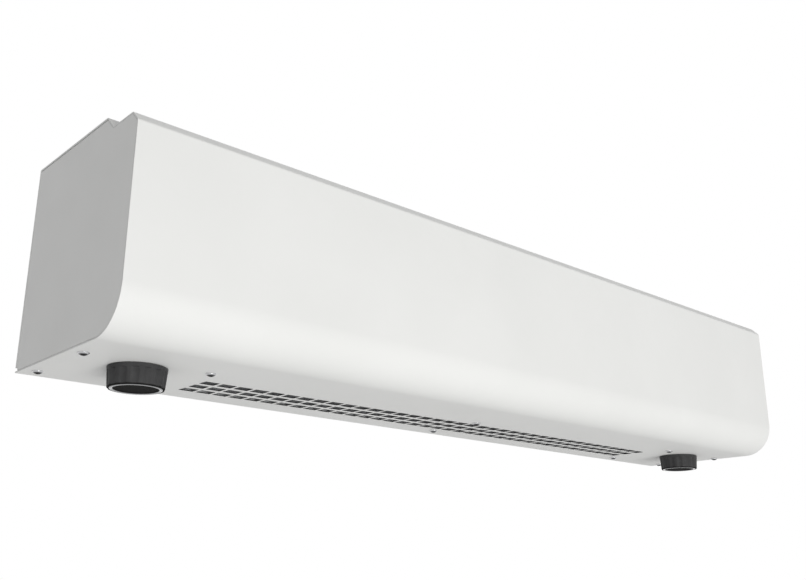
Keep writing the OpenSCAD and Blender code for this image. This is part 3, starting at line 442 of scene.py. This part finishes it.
def moulded(name, dark, light, size, roughness, relief=0.02, **even):
    """Plastic or rubber with the fine texture of its mould and a soft change of tone."""
    plastic = Finish(name, **even)
    texture = plastic.cloud(size, 3, 0.6)
    tone = plastic.cloud(size * 40, 3)
    plastic.feed(
        Base_Color=plastic.blend(
            plastic.spread(texture * 0.5 + tone * 0.5, 0, 1), dark, light),
        Roughness=plastic.spread(texture * 0.4 + tone * 0.6, *roughness))
    plastic.relief(texture, relief)
    return plastic.material


def knob_plastic():
    """Black moulded plastic, rougher over the sunk face, where painted shade makes it darker than the
    side.
    """
    plastic = Finish("knob_plastic", Specular_IOR_Level=0.12)
    texture = plastic.cloud(0.3, 3, 0.6)
    tone = plastic.cloud(12, 3)
    drop = plastic.node("SeparateXYZ", {}, {"Vector": plastic.here}, "Z")
    # The mask is 0 over the sunk face: there the colour is painted shade, near black, and the plastic
    # is rougher
    side = plastic.spread(drop, 0, 1, -0.0997, -0.0990)
    shade = plastic.spread(texture * 0.5 + tone * 0.5, 0, 1)
    plastic.feed(
        Base_Color=plastic.blend(
            side, plastic.blend(shade, (0.006, 0.006, 0.006), (0.013, 0.013, 0.013)),
            plastic.blend(shade, (0.034, 0.034, 0.035), (0.068, 0.068, 0.070))),
        Roughness=0.90 - side * 0.4 + shade * 0.1)
    plastic.relief(texture, 0.008)
    return plastic.material


def laminated():
    """The motor's core: thin sheets stacked along the shaft, blued."""
    core = Finish("core_steel", Metallic=1)
    sheets = core.node("TexWave", {"wave_type": "BANDS", "bands_direction": "X"}, {
        "Vector": core.here, "Scale": 1000 / 3.2, "Distortion": 0.4, "Detail Scale": 2})
    stain = core.cloud(13, 3)
    core.feed(
        Base_Color=core.blend(
            core.spread(sheets * 0.3 + stain * 0.7, 0, 1), (0.13, 0.15, 0.20), (0.30, 0.31, 0.33)),
        Roughness=core.spread(stain, 0.36, 0.52))
    core.relief(sheets, 0.05)
    return core.material


def wound_copper():
    """Enamelled wire lying round the coil ends, under clear varnish."""
    wire = Finish("copper", Metallic=1, Coat_Weight=0.5, Coat_Roughness=0.15)
    turns = wire.node("TexWave", {"wave_type": "RINGS", "rings_direction": "X"}, {
        "Vector": wire.node("VectorMath", {"operation": "SUBTRACT"}, {
            0: wire.here, 1: metres(0, -58.5, 15)}),
        "Scale": 1000 / 4.4, "Distortion": 1.2, "Detail Scale": 1.5})
    burnt = wire.cloud(7, 3)
    wire.feed(
        Base_Color=wire.blend(
            wire.spread(turns * 0.4 + burnt * 0.6, 0, 1), (0.30, 0.10, 0.05), (0.66, 0.30, 0.15)),
        Roughness=wire.spread(burnt, 0.25, 0.42))
    wire.relief(turns, 0.16)
    return wire.material


def heated_steel():
    """Steel fins and sheaths that have been red hot: straw, brown and blue tints."""
    steel = Finish("heater_steel", Metallic=1)
    heat = steel.cloud(19, 4, 0.6)
    tint = steel.node("ValToRGB", {"stops": [
        (0.28, (0.40, 0.38, 0.36)), (0.72, (0.20, 0.22, 0.28)), (0.42, (0.42, 0.33, 0.22)),
        (0.56, (0.26, 0.18, 0.17))]}, {"Fac": heat}, "Color")
    grain = steel.cloud(0.6, 3)
    steel.feed(Base_Color=tint, Roughness=steel.spread(heat * 0.6 + grain * 0.4, 0.36, 0.58))
    steel.relief(grain, 0.01)
    return steel.material


def braided():
    """The loom's woven sleeve: two sets of threads that cross."""
    sleeve = Finish("loom_sleeve")
    across = sleeve.node("TexWave", {"wave_type": "BANDS", "bands_direction": "DIAGONAL"}, {
        "Vector": sleeve.here, "Scale": 1000 / 2.6})
    turned = sleeve.node("Mapping", {}, {"Vector": sleeve.here, "Scale": (-1, 1, 1)})
    back = sleeve.node("TexWave", {"wave_type": "BANDS", "bands_direction": "DIAGONAL"}, {
        "Vector": turned, "Scale": 1000 / 2.6})
    weave = across * back
    sleeve.feed(
        Base_Color=sleeve.blend(
            sleeve.spread(weave, 0, 1, 0.1, 0.8), (0.022, 0.022, 0.024), (0.075, 0.075, 0.08)),
        Roughness=sleeve.spread(weave, 0.72, 0.55, 0, 1))
    sleeve.relief(weave, 0.15)
    return sleeve.material


FINISHES = {
    "casing_paint": powder_coat(),
    # Near black metal on the walls of the punched slots: painted shade
    "slot_wall_shade": bare_metal(
        "slot_wall_shade", (0.05, 0.05, 0.052), (0.11, 0.11, 0.115), 0.4, (0.55, 0.7), relief=0.02),
    "zinc_sheet": galvanised(),
    "shaded_screw_head": shaded_screw_head(),
    "zinc_screw": bare_metal(
        "zinc_screw", (0.20, 0.205, 0.21), (0.42, 0.425, 0.43), 0.5, (0.16, 0.28)),
    "fan_aluminium": bare_metal(
        "fan_aluminium", (0.60, 0.61, 0.63), (0.80, 0.81, 0.82), 0.8, (0.30, 0.46), (30, 1, 1)),
    "cast_aluminium": bare_metal(
        "cast_aluminium", (0.42, 0.43, 0.45), (0.64, 0.65, 0.66), 1.1, (0.50, 0.68), relief=0.06),
    "shaft_steel": bare_metal(
        "shaft_steel", (0.46, 0.47, 0.48), (0.70, 0.71, 0.72), 0.35, (0.20, 0.34), (0.3, 1, 1)),
    "sintered_bronze": bare_metal(
        "sintered_bronze", (0.30, 0.20, 0.10), (0.60, 0.44, 0.25), 0.4, (0.42, 0.60),
        relief=0.03),
    "brass": bare_metal(
        "brass", (0.60, 0.43, 0.18), (0.82, 0.66, 0.36), 0.7, (0.22, 0.38)),
    "black_rubber": moulded(
        "black_rubber", (0.016, 0.016, 0.017), (0.042, 0.042, 0.044), 0.35, (0.62, 0.78)),
    "core_steel": laminated(),
    "copper": wound_copper(),
    "heater_steel": heated_steel(),
    "ceramic": moulded(
        "ceramic", (0.70, 0.67, 0.60), (0.86, 0.84, 0.79), 0.5, (0.45, 0.62), 0.02),
    "knob_plastic": knob_plastic(),
    "knob_chrome": bare_metal(
        "knob_chrome", (0.30, 0.305, 0.31), (0.40, 0.40, 0.41), 0.6, (0.05, 0.11), relief=0.001),
    "dark_plastic": moulded(
        "dark_plastic", (0.045, 0.046, 0.048), (0.085, 0.086, 0.09), 0.4, (0.42, 0.56)),
    "block_plastic": moulded(
        "block_plastic", (0.62, 0.60, 0.54), (0.74, 0.72, 0.66), 0.4, (0.36, 0.50)),
    "loom_sleeve": braided(),
    "wire_insulation": moulded(
        "wire_insulation", (0.055, 0.055, 0.060), (0.11, 0.11, 0.115), 0.6, (0.34, 0.48), 0.01,
        Sheen_Weight=0.1),
}
for part in frame["record"]["subparts"]:
    frame["nodes"][part["node"]].material_slots[0].material = FINISHES[part["material_slot"]]


# Casing

def in_a_slot(rows):
    """Tells whether the middle of a face lies in one of the punched slots."""
    def test(middle):
        column = middle.x / SLOT_PITCH + (SLOT_COLUMNS - 1) / 2
        return (
            near(column, round(column), 0.1) and -1 < column < SLOT_COLUMNS
            and any(near(middle.y, row, 1) for row in rows))
    return test


def punch(rows, height):
    """Punches the slots into the level part of the open sheet at this height."""
    level = [row + way * SLOT_WIDTH / 2 for row in rows for way in (-1, 1)]
    for depth in level:
        score(lambda m: near(m.z, height), (0, depth, height), (0, 1, 0))
    for column in range(SLOT_COLUMNS):
        middle = (column - (SLOT_COLUMNS - 1) / 2) * SLOT_PITCH
        for way in (-1, 1):
            score(
                lambda m: near(m.z, height) and min(level) < m.y < max(level)
                and m.x > middle - SLOT_PITCH,
                (middle + way * SLOT_LENGTH / 2, 0, height), (1, 0, 0))
    pick("FACE", lambda m: near(m.z, height) and in_a_slot(rows)(m))
    bpy.ops.mesh.delete(type="FACE")


def shade_the_slot_walls(piece, rows, height):
    """The walls of the punched slots get a near black finish: painted shade."""
    # The first of the two places gets the paint, in fit_piece
    for place in range(2):
        piece.data.materials.append(FINISHES["slot_wall_shade"])
    for face in piece.data.polygons:
        middle = face.center * 1000
        column = abs(middle.x / SLOT_PITCH + 0.5 - round(middle.x / SLOT_PITCH + 0.5))
        face.material_index = int(
            abs(face.normal.z) < 0.3 and abs(middle.z - height) < SHEET - 0.1
            and abs(middle.x) < SLOT_COLUMNS * SLOT_PITCH / 2
            and column * SLOT_PITCH < SLOT_LENGTH / 2 + 0.1
            and any(abs(middle.y - row) < SLOT_WIDTH / 2 + 0.1 for row in rows))


def finish_sheet(piece, cutter, node, rows, height):
    """Gives the open outer skin its thickness, drills it and rounds its edges."""
    modify(piece, "SOLIDIFY", thickness=SHEET / 1000, offset=-1, use_even_offset=True)
    cut(piece, cutter)
    soften(piece, 0.12, 1)
    shade_the_slot_walls(piece, rows, height)
    fit_piece(piece, "casing_paint", "root", node)


def front_cover():
    """One sheet: punched bottom, round bend, front, bevel and ledge."""
    put_down()
    bpy.ops.mesh.primitive_plane_add(size=1, location=metres(0, (FRONT + BEND) / 2, BOTTOM))
    cover = named("casing_front_cover", 2 * HALF / 1000, -(FRONT + BEND) / 1000, 1)
    open_mesh(cover)
    pick("EDGE", lambda m: near(m.y, FRONT + BEND))
    bpy.ops.mesh.spin(
        steps=20, angle=radians(90), center=metres(0, FRONT + BEND, BOTTOM + BEND),
        axis=(1, 0, 0))
    pick("EDGE", lambda m: near(m.y, FRONT) and near(m.z, BOTTOM + BEND))
    pull(0, 0, LEDGE - BEVEL - BOTTOM - BEND)
    pull(0, BEVEL, BEVEL)
    pull(0, NOTCH - SHEET - SEAM - FRONT - BEVEL, 0)
    tidy_mesh((lambda m: near(m.z, BOTTOM), (0, 0, -1)))
    for y, z in ((FRONT, LEDGE - BEVEL), (FRONT + BEVEL, LEDGE)):
        fold_round(1, 3, lambda m: near(m.x, 0) and near(m.y, y) and near(m.z, z))
    punch(OUTLET_ROWS, BOTTOM)
    close_mesh()
    holes = [(x, y, BOTTOM, SCREW_HOLE, DRILL, 0) for x, y in SCREWS]
    for side in (-1, 1):
        holes.append((side * KNOB_X, KNOB_Y, BOTTOM, SPINDLE_HOLE, DRILL, 0))
        holes += [
            (side * KNOB_X + way * KNOB_SCREW_GAP, KNOB_Y, BOTTOM, SCREW_HOLE, DRILL, 0)
            for way in (-1, 1)]
    finish_sheet(cover, rods_and_blocks(holes), "front_cover", OUTLET_ROWS, BOTTOM)


def chassis():
    """One sheet: lip, slope, punched top, back and the fold under the cover's bottom."""
    put_down()
    bpy.ops.mesh.primitive_plane_add(size=1, location=metres(0, (WALL + NOTCH + STEP) / 2, TOP))
    back = named("casing_chassis", 2 * HALF / 1000, -(NOTCH + STEP) / 1000, 1)
    open_mesh(back)
    pick("EDGE", lambda m: near(m.y, NOTCH + STEP))
    pull(0, -STEP - SHEET, -STEP - SHEET)
    pull(0, -LIP, 0)
    pick("EDGE", lambda m: near(m.y, WALL))
    pull(0, 0, BOTTOM + SHEET - TOP)
    pull(0, -REAR_FOLD, 0)
    tidy_mesh((lambda m: near(m.z, TOP), (0, 0, 1)))
    for y, z in ((NOTCH + STEP, TOP), (NOTCH - SHEET, LEDGE - SHEET), (WALL, TOP)):
        fold_round(1, 3, lambda m: near(m.x, 0) and near(m.y, y) and near(m.z, z))
    punch(INTAKE_ROWS, TOP)
    close_mesh()
    holes = [(x, y, BOTTOM, THREAD_HOLE, DRILL, 0) for x, y in SCREWS if y == REAR_SCREW_LINE]
    holes += [(x, WALL, z, WALL_HOLE, DRILL, 90) for x, z in WALL_HOLES]
    holes.append((GLAND_X, GLAND_Y, TOP, GLAND_HOLE, DRILL, 0))
    # The corner reliefs, at the lip and at the fold of the bottom
    blocks = []
    for side in (-1, 1):
        left, right = sorted((side * 398.7, side * 402))
        blocks.append(((left, -141, 60), (right, -125.6, 62.31)))
        left, right = sorted((side * 396.4, side * 402))
        blocks.append(((left, FOLD_REAR, BOTTOM - 1), (right, 1, RELIEF_TOP)))
    finish_sheet(back, rods_and_blocks(holes, blocks), "chassis", INTAKE_ROWS, TOP)


def end_panels():
    """A plate with folded edges, set inside the cover's and the chassis's edges."""
    gap = SHEET + SEAM
    front, wall, bottom, top = FRONT + gap, WALL - gap, BOTTOM + gap, TOP - gap - OPEN_SEAM
    ledge, step = LEDGE - gap, NOTCH + STEP_INSET
    put_down()
    bpy.ops.mesh.primitive_plane_add(
        size=1, location=metres(HALF, (front + wall) / 2, (bottom + ledge) / 2),
        rotation=(0, radians(90), 0))
    panel = named("casing_right_end", (ledge - bottom) / 1000, (wall - front) / 1000, 1)
    open_mesh(panel)
    score(lambda m: True, (HALF, step, 0), (0, 1, 0))
    pick("EDGE", lambda m: near(m.z, ledge) and m.y > step + 1)
    pull(0, 0, top - ledge)
    pick("VERT", lambda m: near(m.z, top) and near(m.y, step))
    push(0, top - ledge, 0)
    pick("VERT", lambda m: near(m.z, ledge) and near(m.y, front))
    bpy.ops.mesh.bevel(offset=CORNER_CUT / 1000, segments=1, affect="VERTICES")
    pick("VERT", lambda m: near(m.z, bottom) and near(m.y, front))
    bpy.ops.mesh.bevel(offset=(BEND - gap) / 1000, segments=20, affect="VERTICES")
    score(lambda m: True, (HALF, FOLD_FRONT, 0), (0, 1, 0))
    score(lambda m: True, (HALF, FOLD_REAR, 0), (0, 1, 0))
    score(lambda m: True, (HALF, 0, RELIEF_TOP), (0, 0, 1))
    score(lambda m: m.z < RELIEF_TOP, (HALF, RELIEF_REAR, 0), (0, 1, 0))
    pick("FACE", lambda m: m.z < RELIEF_TOP and m.y > RELIEF_REAR)
    bpy.ops.mesh.delete(type="FACE")
    pick("EDGE", lambda m: near(m.z, bottom) and FOLD_FRONT < m.y < FOLD_REAR)
    pull(-BOTTOM_FOLD, 0, 0)
    pick("EDGE", lambda m: near(m.y, wall) and m.z > RELIEF_TOP)
    pull(-OTHER_FOLD, 0, 0)
    pick("EDGE", lambda m: near(m.z, top) and near(m.x, HALF))
    pull(-OTHER_FOLD, 0, 0)
    tidy_mesh((lambda m: near(m.x, HALF), (1, 0, 0)))
    for test in (
            lambda m: near(m.z, bottom) and FOLD_FRONT < m.y < FOLD_REAR,
            lambda m: near(m.y, wall) and m.z > RELIEF_TOP,
            lambda m: near(m.z, top)):
        fold_round(0.8, 3, lambda m: near(m.x, HALF) and test(m))
    close_mesh()
    left = copy_of(panel, "casing_left_end")
    open_mesh(left)
    bpy.ops.mesh.select_all(action="SELECT")
    bpy.ops.transform.resize(value=(-1, 1, 1), center_override=(0, 0, 0))
    tidy_mesh((lambda m: near(m.x, -HALF), (-1, 0, 0)))
    close_mesh()
    for piece, side, node in ((panel, 1, "right_end_panel"), (left, -1, "left_end_panel")):
        hole = rods_and_blocks([(side * END_SCREW[0], END_SCREW[1], BOTTOM, THREAD_HOLE, 8, 0)])
        modify(piece, "SOLIDIFY", thickness=SHEET / 1000, offset=-1, use_even_offset=True)
        cut(piece, hole)
        soften(piece, 0.25, 2)
        fit_piece(piece, "casing_paint", "root", node)


def casing_screws():
    """Pan heads with a cross recess. One is made, and the rest are copies of it."""
    crown = HEAD_HEIGHT - HEAD_RIM
    sphere = (HEAD_RADIUS ** 2 + crown ** 2) / (2 * crown)
    put_down()
    bpy.ops.mesh.primitive_cylinder_add(
        vertices=40, radius=HEAD_RADIUS / 1000, depth=HEAD_RIM / 1000,
        location=metres(0, 0, -HEAD_RIM / 2))
    screw = named("casing_screw_1")
    open_mesh(screw)
    level, wide = -HEAD_RIM, HEAD_RADIUS
    for share in DOME_SHARES:
        narrow = HEAD_RADIUS * share
        lower = sphere - HEAD_HEIGHT - sqrt(sphere ** 2 - narrow ** 2)
        pick("FACE", lambda m: near(m.z, level) and hypot(m.x, m.y) < 0.1)
        pull(0, 0, lower - level)
        widen(narrow / wide, 0, 0, lower)
        level, wide = lower, narrow
    pick("FACE", lambda m: near(m.z, 0) and hypot(m.x, m.y) < 0.1)
    pull(0, 0, 0)
    widen(THREAD_RADIUS / HEAD_RADIUS, 0, 0, 0)
    pull(0, 0, THREAD_LENGTH)
    tidy_mesh()
    close_mesh()
    for across, along in ((RECESS_LENGTH, RECESS_WIDTH), (RECESS_WIDTH, RECESS_LENGTH)):
        put_down()
        bpy.ops.mesh.primitive_cube_add(
            size=1, location=metres(0, 0, -HEAD_HEIGHT - RECESS_LIFT))
        blade = named("driver", across / 1000, along / 1000, RECESS_BLOCK / 1000)
        open_mesh(blade)
        pick("FACE", lambda m: near(m.z, RECESS_BLOCK / 2 - HEAD_HEIGHT - RECESS_LIFT))
        bpy.ops.transform.resize(value=(0.7, 0.7, 1), center_override=metres(0, 0, -HEAD_HEIGHT))
        close_mesh()
        cut(screw, blade)
    soften(screw, 0.07, 2, 35)
    screws = [screw]
    screws += [copy_of(screw, f"casing_screw_{count + 1}") for count in range(1, len(SCREWS))]
    for count, (piece, (x, y)) in enumerate(zip(screws, SCREWS)):
        open_mesh(piece)
        bpy.ops.mesh.select_all(action="SELECT")
        bpy.ops.transform.rotate(
            value=radians(count * TURN_BETWEEN_SCREWS % 90), orient_axis="Z",
            center_override=(0, 0, 0))
        push(x, y, BOTTOM)
        close_mesh()
        fit_piece(piece, "zinc_screw", "root", "casing_screws")
        # Only these heads are seen from outside, so they have a finish of their own, with painted
        # shade over the low face of each dome
        piece.data.materials[0] = FINISHES["shaded_screw_head"]


# Knobs

def knob_outline(depth, turn):
    """The knob's radius this far below the casing and this many degrees from a flute."""
    taper = (KNOB_RADIUS - KNOB_END_RADIUS) / (KNOB_DEPTH - KNOB_GAP)
    round_off = KNOB_DEPTH - RIM_START
    wide = KNOB_RADIUS - taper * (depth - KNOB_GAP)
    if depth > RIM_START:
        rise = sqrt(max(0, round_off ** 2 - (depth - RIM_START) ** 2))
        wide = KNOB_END_RADIUS - round_off + rise
    flute_middle = FLUTE_LIFT - taper * (depth - COLLAR_DEPTH)
    off = radians(turn)
    across = flute_middle * sin(off)
    if depth < FLUTED_DEPTHS[0] or abs(across) > FLUTE_RADIUS:
        return wide
    return min(wide, flute_middle * cos(off) - sqrt(FLUTE_RADIUS ** 2 - across ** 2))


def knob(name, side, body, node, ring_node):
    """A fluted knob with a collar, a rounded rim and a sunk face, and its bright ring."""
    place = (side * KNOB_X, KNOB_Y)
    put_down()
    bpy.ops.mesh.primitive_cylinder_add(
        vertices=240, radius=KNOB_RADIUS / 1000, depth=(COLLAR_DEPTH - KNOB_GAP) / 1000,
        location=metres(*place, BOTTOM - (COLLAR_DEPTH + KNOB_GAP) / 2))
    turned = named(name)
    open_mesh(turned)
    level, wide = COLLAR_DEPTH, KNOB_RADIUS
    for depth in (COLLAR_DEPTH, *FLUTED_DEPTHS, KNOB_DEPTH):
        lower = knob_outline(depth, FLUTE_ANGLE / 2)
        pick("FACE", lambda m: near(m.z, BOTTOM - level) and near(m.x, place[0], 0.1))
        if depth > COLLAR_DEPTH:
            pull(0, 0, level - depth)
        widen(lower / wide, *place, BOTTOM - depth)
        level, wide = depth, lower
    for radius, depth in SUNK_FACE:
        pick("FACE", lambda m: near(m.z, BOTTOM - level) and near(m.x, place[0], 0.1)
             and near(m.y, place[1], 0.1))
        pull(0, 0, level - depth)
        widen(radius / wide, *place, BOTTOM - depth)
        level, wide = depth, radius
    for depth in FLUTED_DEPTHS:
        for line in range(LINES_A_FLUTE):
            turn = line * POINT_ANGLE
            full, flute = knob_outline(depth, FLUTE_ANGLE / 2), knob_outline(depth, turn)
            if flute > full - 0.001:
                continue

            def on_this_line(m):
                """Tells whether a point is on the outside, this many degrees from a flute."""
                if not near(m.z, BOTTOM - depth):
                    return False
                x, y = m.x - place[0], m.y - place[1]
                off = degrees(atan2(y, x)) % FLUTE_ANGLE
                return hypot(x, y) > 18.2 and near(min(off, FLUTE_ANGLE - off), turn, 0.4)

            pick("VERT", on_this_line)
            widen(flute / full, *place, BOTTOM - depth)
    pick("FACE", lambda m: near(m.z, BOTTOM - KNOB_GAP) and near(m.x, place[0], 0.1))
    bpy.ops.mesh.inset(thickness=SKIRT / 1000)
    pull(0, 0, -SKIRT_DEPTH)
    bpy.ops.mesh.inset(thickness=HUB / 1000)
    pull(0, 0, HUB_DEPTH)
    tidy_mesh()
    close_mesh()
    take(turned)
    bpy.ops.object.shade_smooth_by_angle(angle=radians(32))
    fit_piece(turned, "knob_plastic", body, node)

    put_down()
    bpy.ops.mesh.primitive_torus_add(
        major_radius=RING_RADIUS / 1000, minor_radius=RING_WIDTH / 2000, major_segments=144,
        minor_segments=20, location=metres(*place, BOTTOM - RING_DEPTH))
    bright = named(name + "_ring")
    open_mesh(bright)
    bpy.ops.mesh.select_all(action="SELECT")
    bpy.ops.transform.resize(
        value=(1, 1, 0.5), center_override=metres(*place, BOTTOM - RING_DEPTH))
    bpy.ops.mesh.bisect(
        plane_co=metres(*place, BOTTOM - RING_TOP), plane_no=(0, 0, 1), use_fill=True,
        clear_outer=True)
    tidy_mesh()
    close_mesh()
    take(bright)
    bpy.ops.object.shade_smooth_by_angle(angle=radians(40))
    fit_piece(bright, "knob_chrome", body, ring_node)


# Cable gland

def cable_gland():
    """A hexagon with chamfered corners, and a ribbed dome nut with a round shoulder."""
    put_down()
    bpy.ops.mesh.primitive_cylinder_add(
        vertices=6, radius=HEXAGON_RADIUS / 1000, depth=HEXAGON_HEIGHT / 1000,
        location=metres(GLAND_X, GLAND_Y, TOP + HEXAGON_HEIGHT / 2), rotation=(0, 0, radians(30)))
    body = named("gland_hexagon")
    open_mesh(body)
    for level, way in ((TOP + HEXAGON_HEIGHT, 1), (TOP, -1)):
        pick("FACE", lambda m: near(m.z, level))
        bpy.ops.mesh.inset(thickness=NECK_STEP / 1000)
        pull(0, 0, NECK_ABOVE if way > 0 else -NECK_BELOW)
    tidy_mesh()
    close_mesh()
    bore = rods_and_blocks([(GLAND_X, GLAND_Y, TOP, GLAND_BORE, 60, 0)])
    cut(body, bore)
    soften(body, 0.5, 3)
    fit_piece(body, "dark_plastic", "root", "gland_body")

    put_down()
    bpy.ops.mesh.primitive_cylinder_add(
        vertices=96, radius=NUT_RADIUS / 1000, depth=(NUT_SHOULDER - NUT_FOOT) / 1000,
        location=metres(GLAND_X, GLAND_Y, TOP + (NUT_SHOULDER + NUT_FOOT) / 2))
    nut = named("gland_dome_nut")
    open_mesh(nut)
    level, wide = TOP + NUT_SHOULDER, NUT_RADIUS
    for radius, height in NUT_DOME:
        pick("FACE", lambda m: near(m.z, level) and near(m.x, GLAND_X, 0.1))
        pull(0, 0, TOP + height - level)
        widen(radius / wide, GLAND_X, GLAND_Y, TOP + height)
        level, wide = TOP + height, radius

    def between_ribs(m):
        """Tells whether a point lies in a groove between two ribs."""
        x, y = m.x - GLAND_X, m.y - GLAND_Y
        turn = degrees(atan2(y, x)) % RIB_ANGLE
        low = m.z < TOP + NUT_SHOULDER + 0.1
        return low and turn < RIB_GAP_ANGLE and hypot(x, y) > NUT_RADIUS - 0.1

    pick("VERT", between_ribs)
    widen(RIB_SHARE, GLAND_X, GLAND_Y, 0)
    tidy_mesh()
    close_mesh()
    cut(nut, rods_and_blocks([
        (GLAND_X, GLAND_Y, TOP + 10, GLAND_BORE, 30, 0),
        (GLAND_X, GLAND_Y, TOP, NUT_BORE, 30.6, 0)]))
    soften(nut, 0.25, 2, 45)
    fit_piece(nut, "dark_plastic", "root", "gland_nut")


front_cover()
chassis()
end_panels()
casing_screws()
knob("thermostat_dial", -1, "thermostat_control", "thermostat_knob", "thermostat_knob_ring")
knob("mode_dial", 1, "mode_control", "mode_knob", "mode_knob_ring")
cable_gland()


# Floor, light and camera

def pale_floor():
    """A plain pale floor, well below the hanging casing. It keeps a part of its shadow."""
    put_down()
    bpy.ops.mesh.primitive_plane_add(size=FLOOR_SIZE, location=(0, 0, FLOOR_HEIGHT))
    floor = named("floor")
    pale = Finish("floor_paint")
    pale.shader.inputs["Base Color"].default_value = (FLOOR_TONE,) * 3 + (1,)
    pale.shader.inputs["Roughness"].default_value = 0.9
    pale.shader.inputs["Specular IOR Level"].default_value = 0
    white = pale.node("Emission", {}, {"Color": (1, 1, 1, 1), "Strength": 1})
    seen = pale.node("LightPath", output="Is Camera Ray")
    for ray in ("Is Glossy Ray", "Is Transmission Ray"):
        seen = seen.math("MAXIMUM", seen, pale.node("LightPath", output=ray))
    shown = pale.node("MixShader", {}, {
        0: seen * FLOOR_WHITENESS, 1: Value(pale, pale.shader.outputs[0]), 2: white})
    pale.tree.links.new(shown.socket, pale.tree.nodes["Material Output"].inputs["Surface"])
    floor.data.materials.append(pale.material)


def studio():
    """White all round for the camera, metal and glass, and plain soft light."""
    world = bpy.data.worlds.new("studio")
    bpy.context.scene.world = world
    world.use_nodes = True
    nodes, links = world.node_tree.nodes, world.node_tree.links
    backdrop = nodes["Background"]
    path = nodes.new("ShaderNodeLightPath")
    through = path.outputs["Is Camera Ray"]
    for ray in ("Is Glossy Ray", "Is Transmission Ray"):
        either = nodes.new("ShaderNodeMath")
        either.operation = "MAXIMUM"
        links.new(through, either.inputs[0])
        links.new(path.outputs[ray], either.inputs[1])
        through = either.outputs[0]
    shade = nodes.new("ShaderNodeMix")
    shade.data_type = "RGBA"
    shade.inputs[6].default_value = (ROOM_TONE,) * 3 + (1,)
    shade.inputs[7].default_value = (1, 1, 1, 1)
    links.new(through, shade.inputs[0])
    links.new(shade.outputs[2], backdrop.inputs["Color"])

    put_down()
    bpy.ops.object.light_add(type="AREA", location=LAMP_PLACE)
    lamp = bpy.context.active_object
    lamp.name = lamp.data.name = "softbox"
    lamp.data.shape = "RECTANGLE"
    lamp.data.size, lamp.data.size_y = LAMP_WIDTH, LAMP_DEPTH
    lamp.data.energy = LAMP_POWER
    lamp.data.color = (1, 1, 0.98)
    lamp.rotation_euler = (Vector((0, 0, 0)) - lamp.location).to_track_quat("-Z", "Y").to_euler()


def camera():
    """The photograph's view: from below, left and in front."""
    turn, tilt, roll = radians(CAMERA_TURN), radians(CAMERA_TILT), radians(CAMERA_ROLL)
    ahead = Vector((sin(turn) * cos(tilt), cos(turn) * cos(tilt), sin(tilt)))
    level = Vector((cos(turn), -sin(turn), 0))
    above = level.cross(ahead)
    right = level * cos(roll) + above * sin(roll)
    up = above * cos(roll) - level * sin(roll)
    put_down()
    bpy.ops.object.camera_add(
        location=CAMERA_PLACE,
        rotation=Matrix((right, up, -ahead)).transposed().to_euler())
    view = bpy.context.active_object
    view.name = view.data.name = "camera"
    view.data.lens = LENS
    view.data.sensor_width = SENSOR
    view.data.clip_start = 0.01
    view.data.dof.use_dof = False
    bpy.context.scene.camera = view


pale_floor()
studio()
camera()
bpy.context.scene.view_settings.view_transform = "Standard"
put_down()
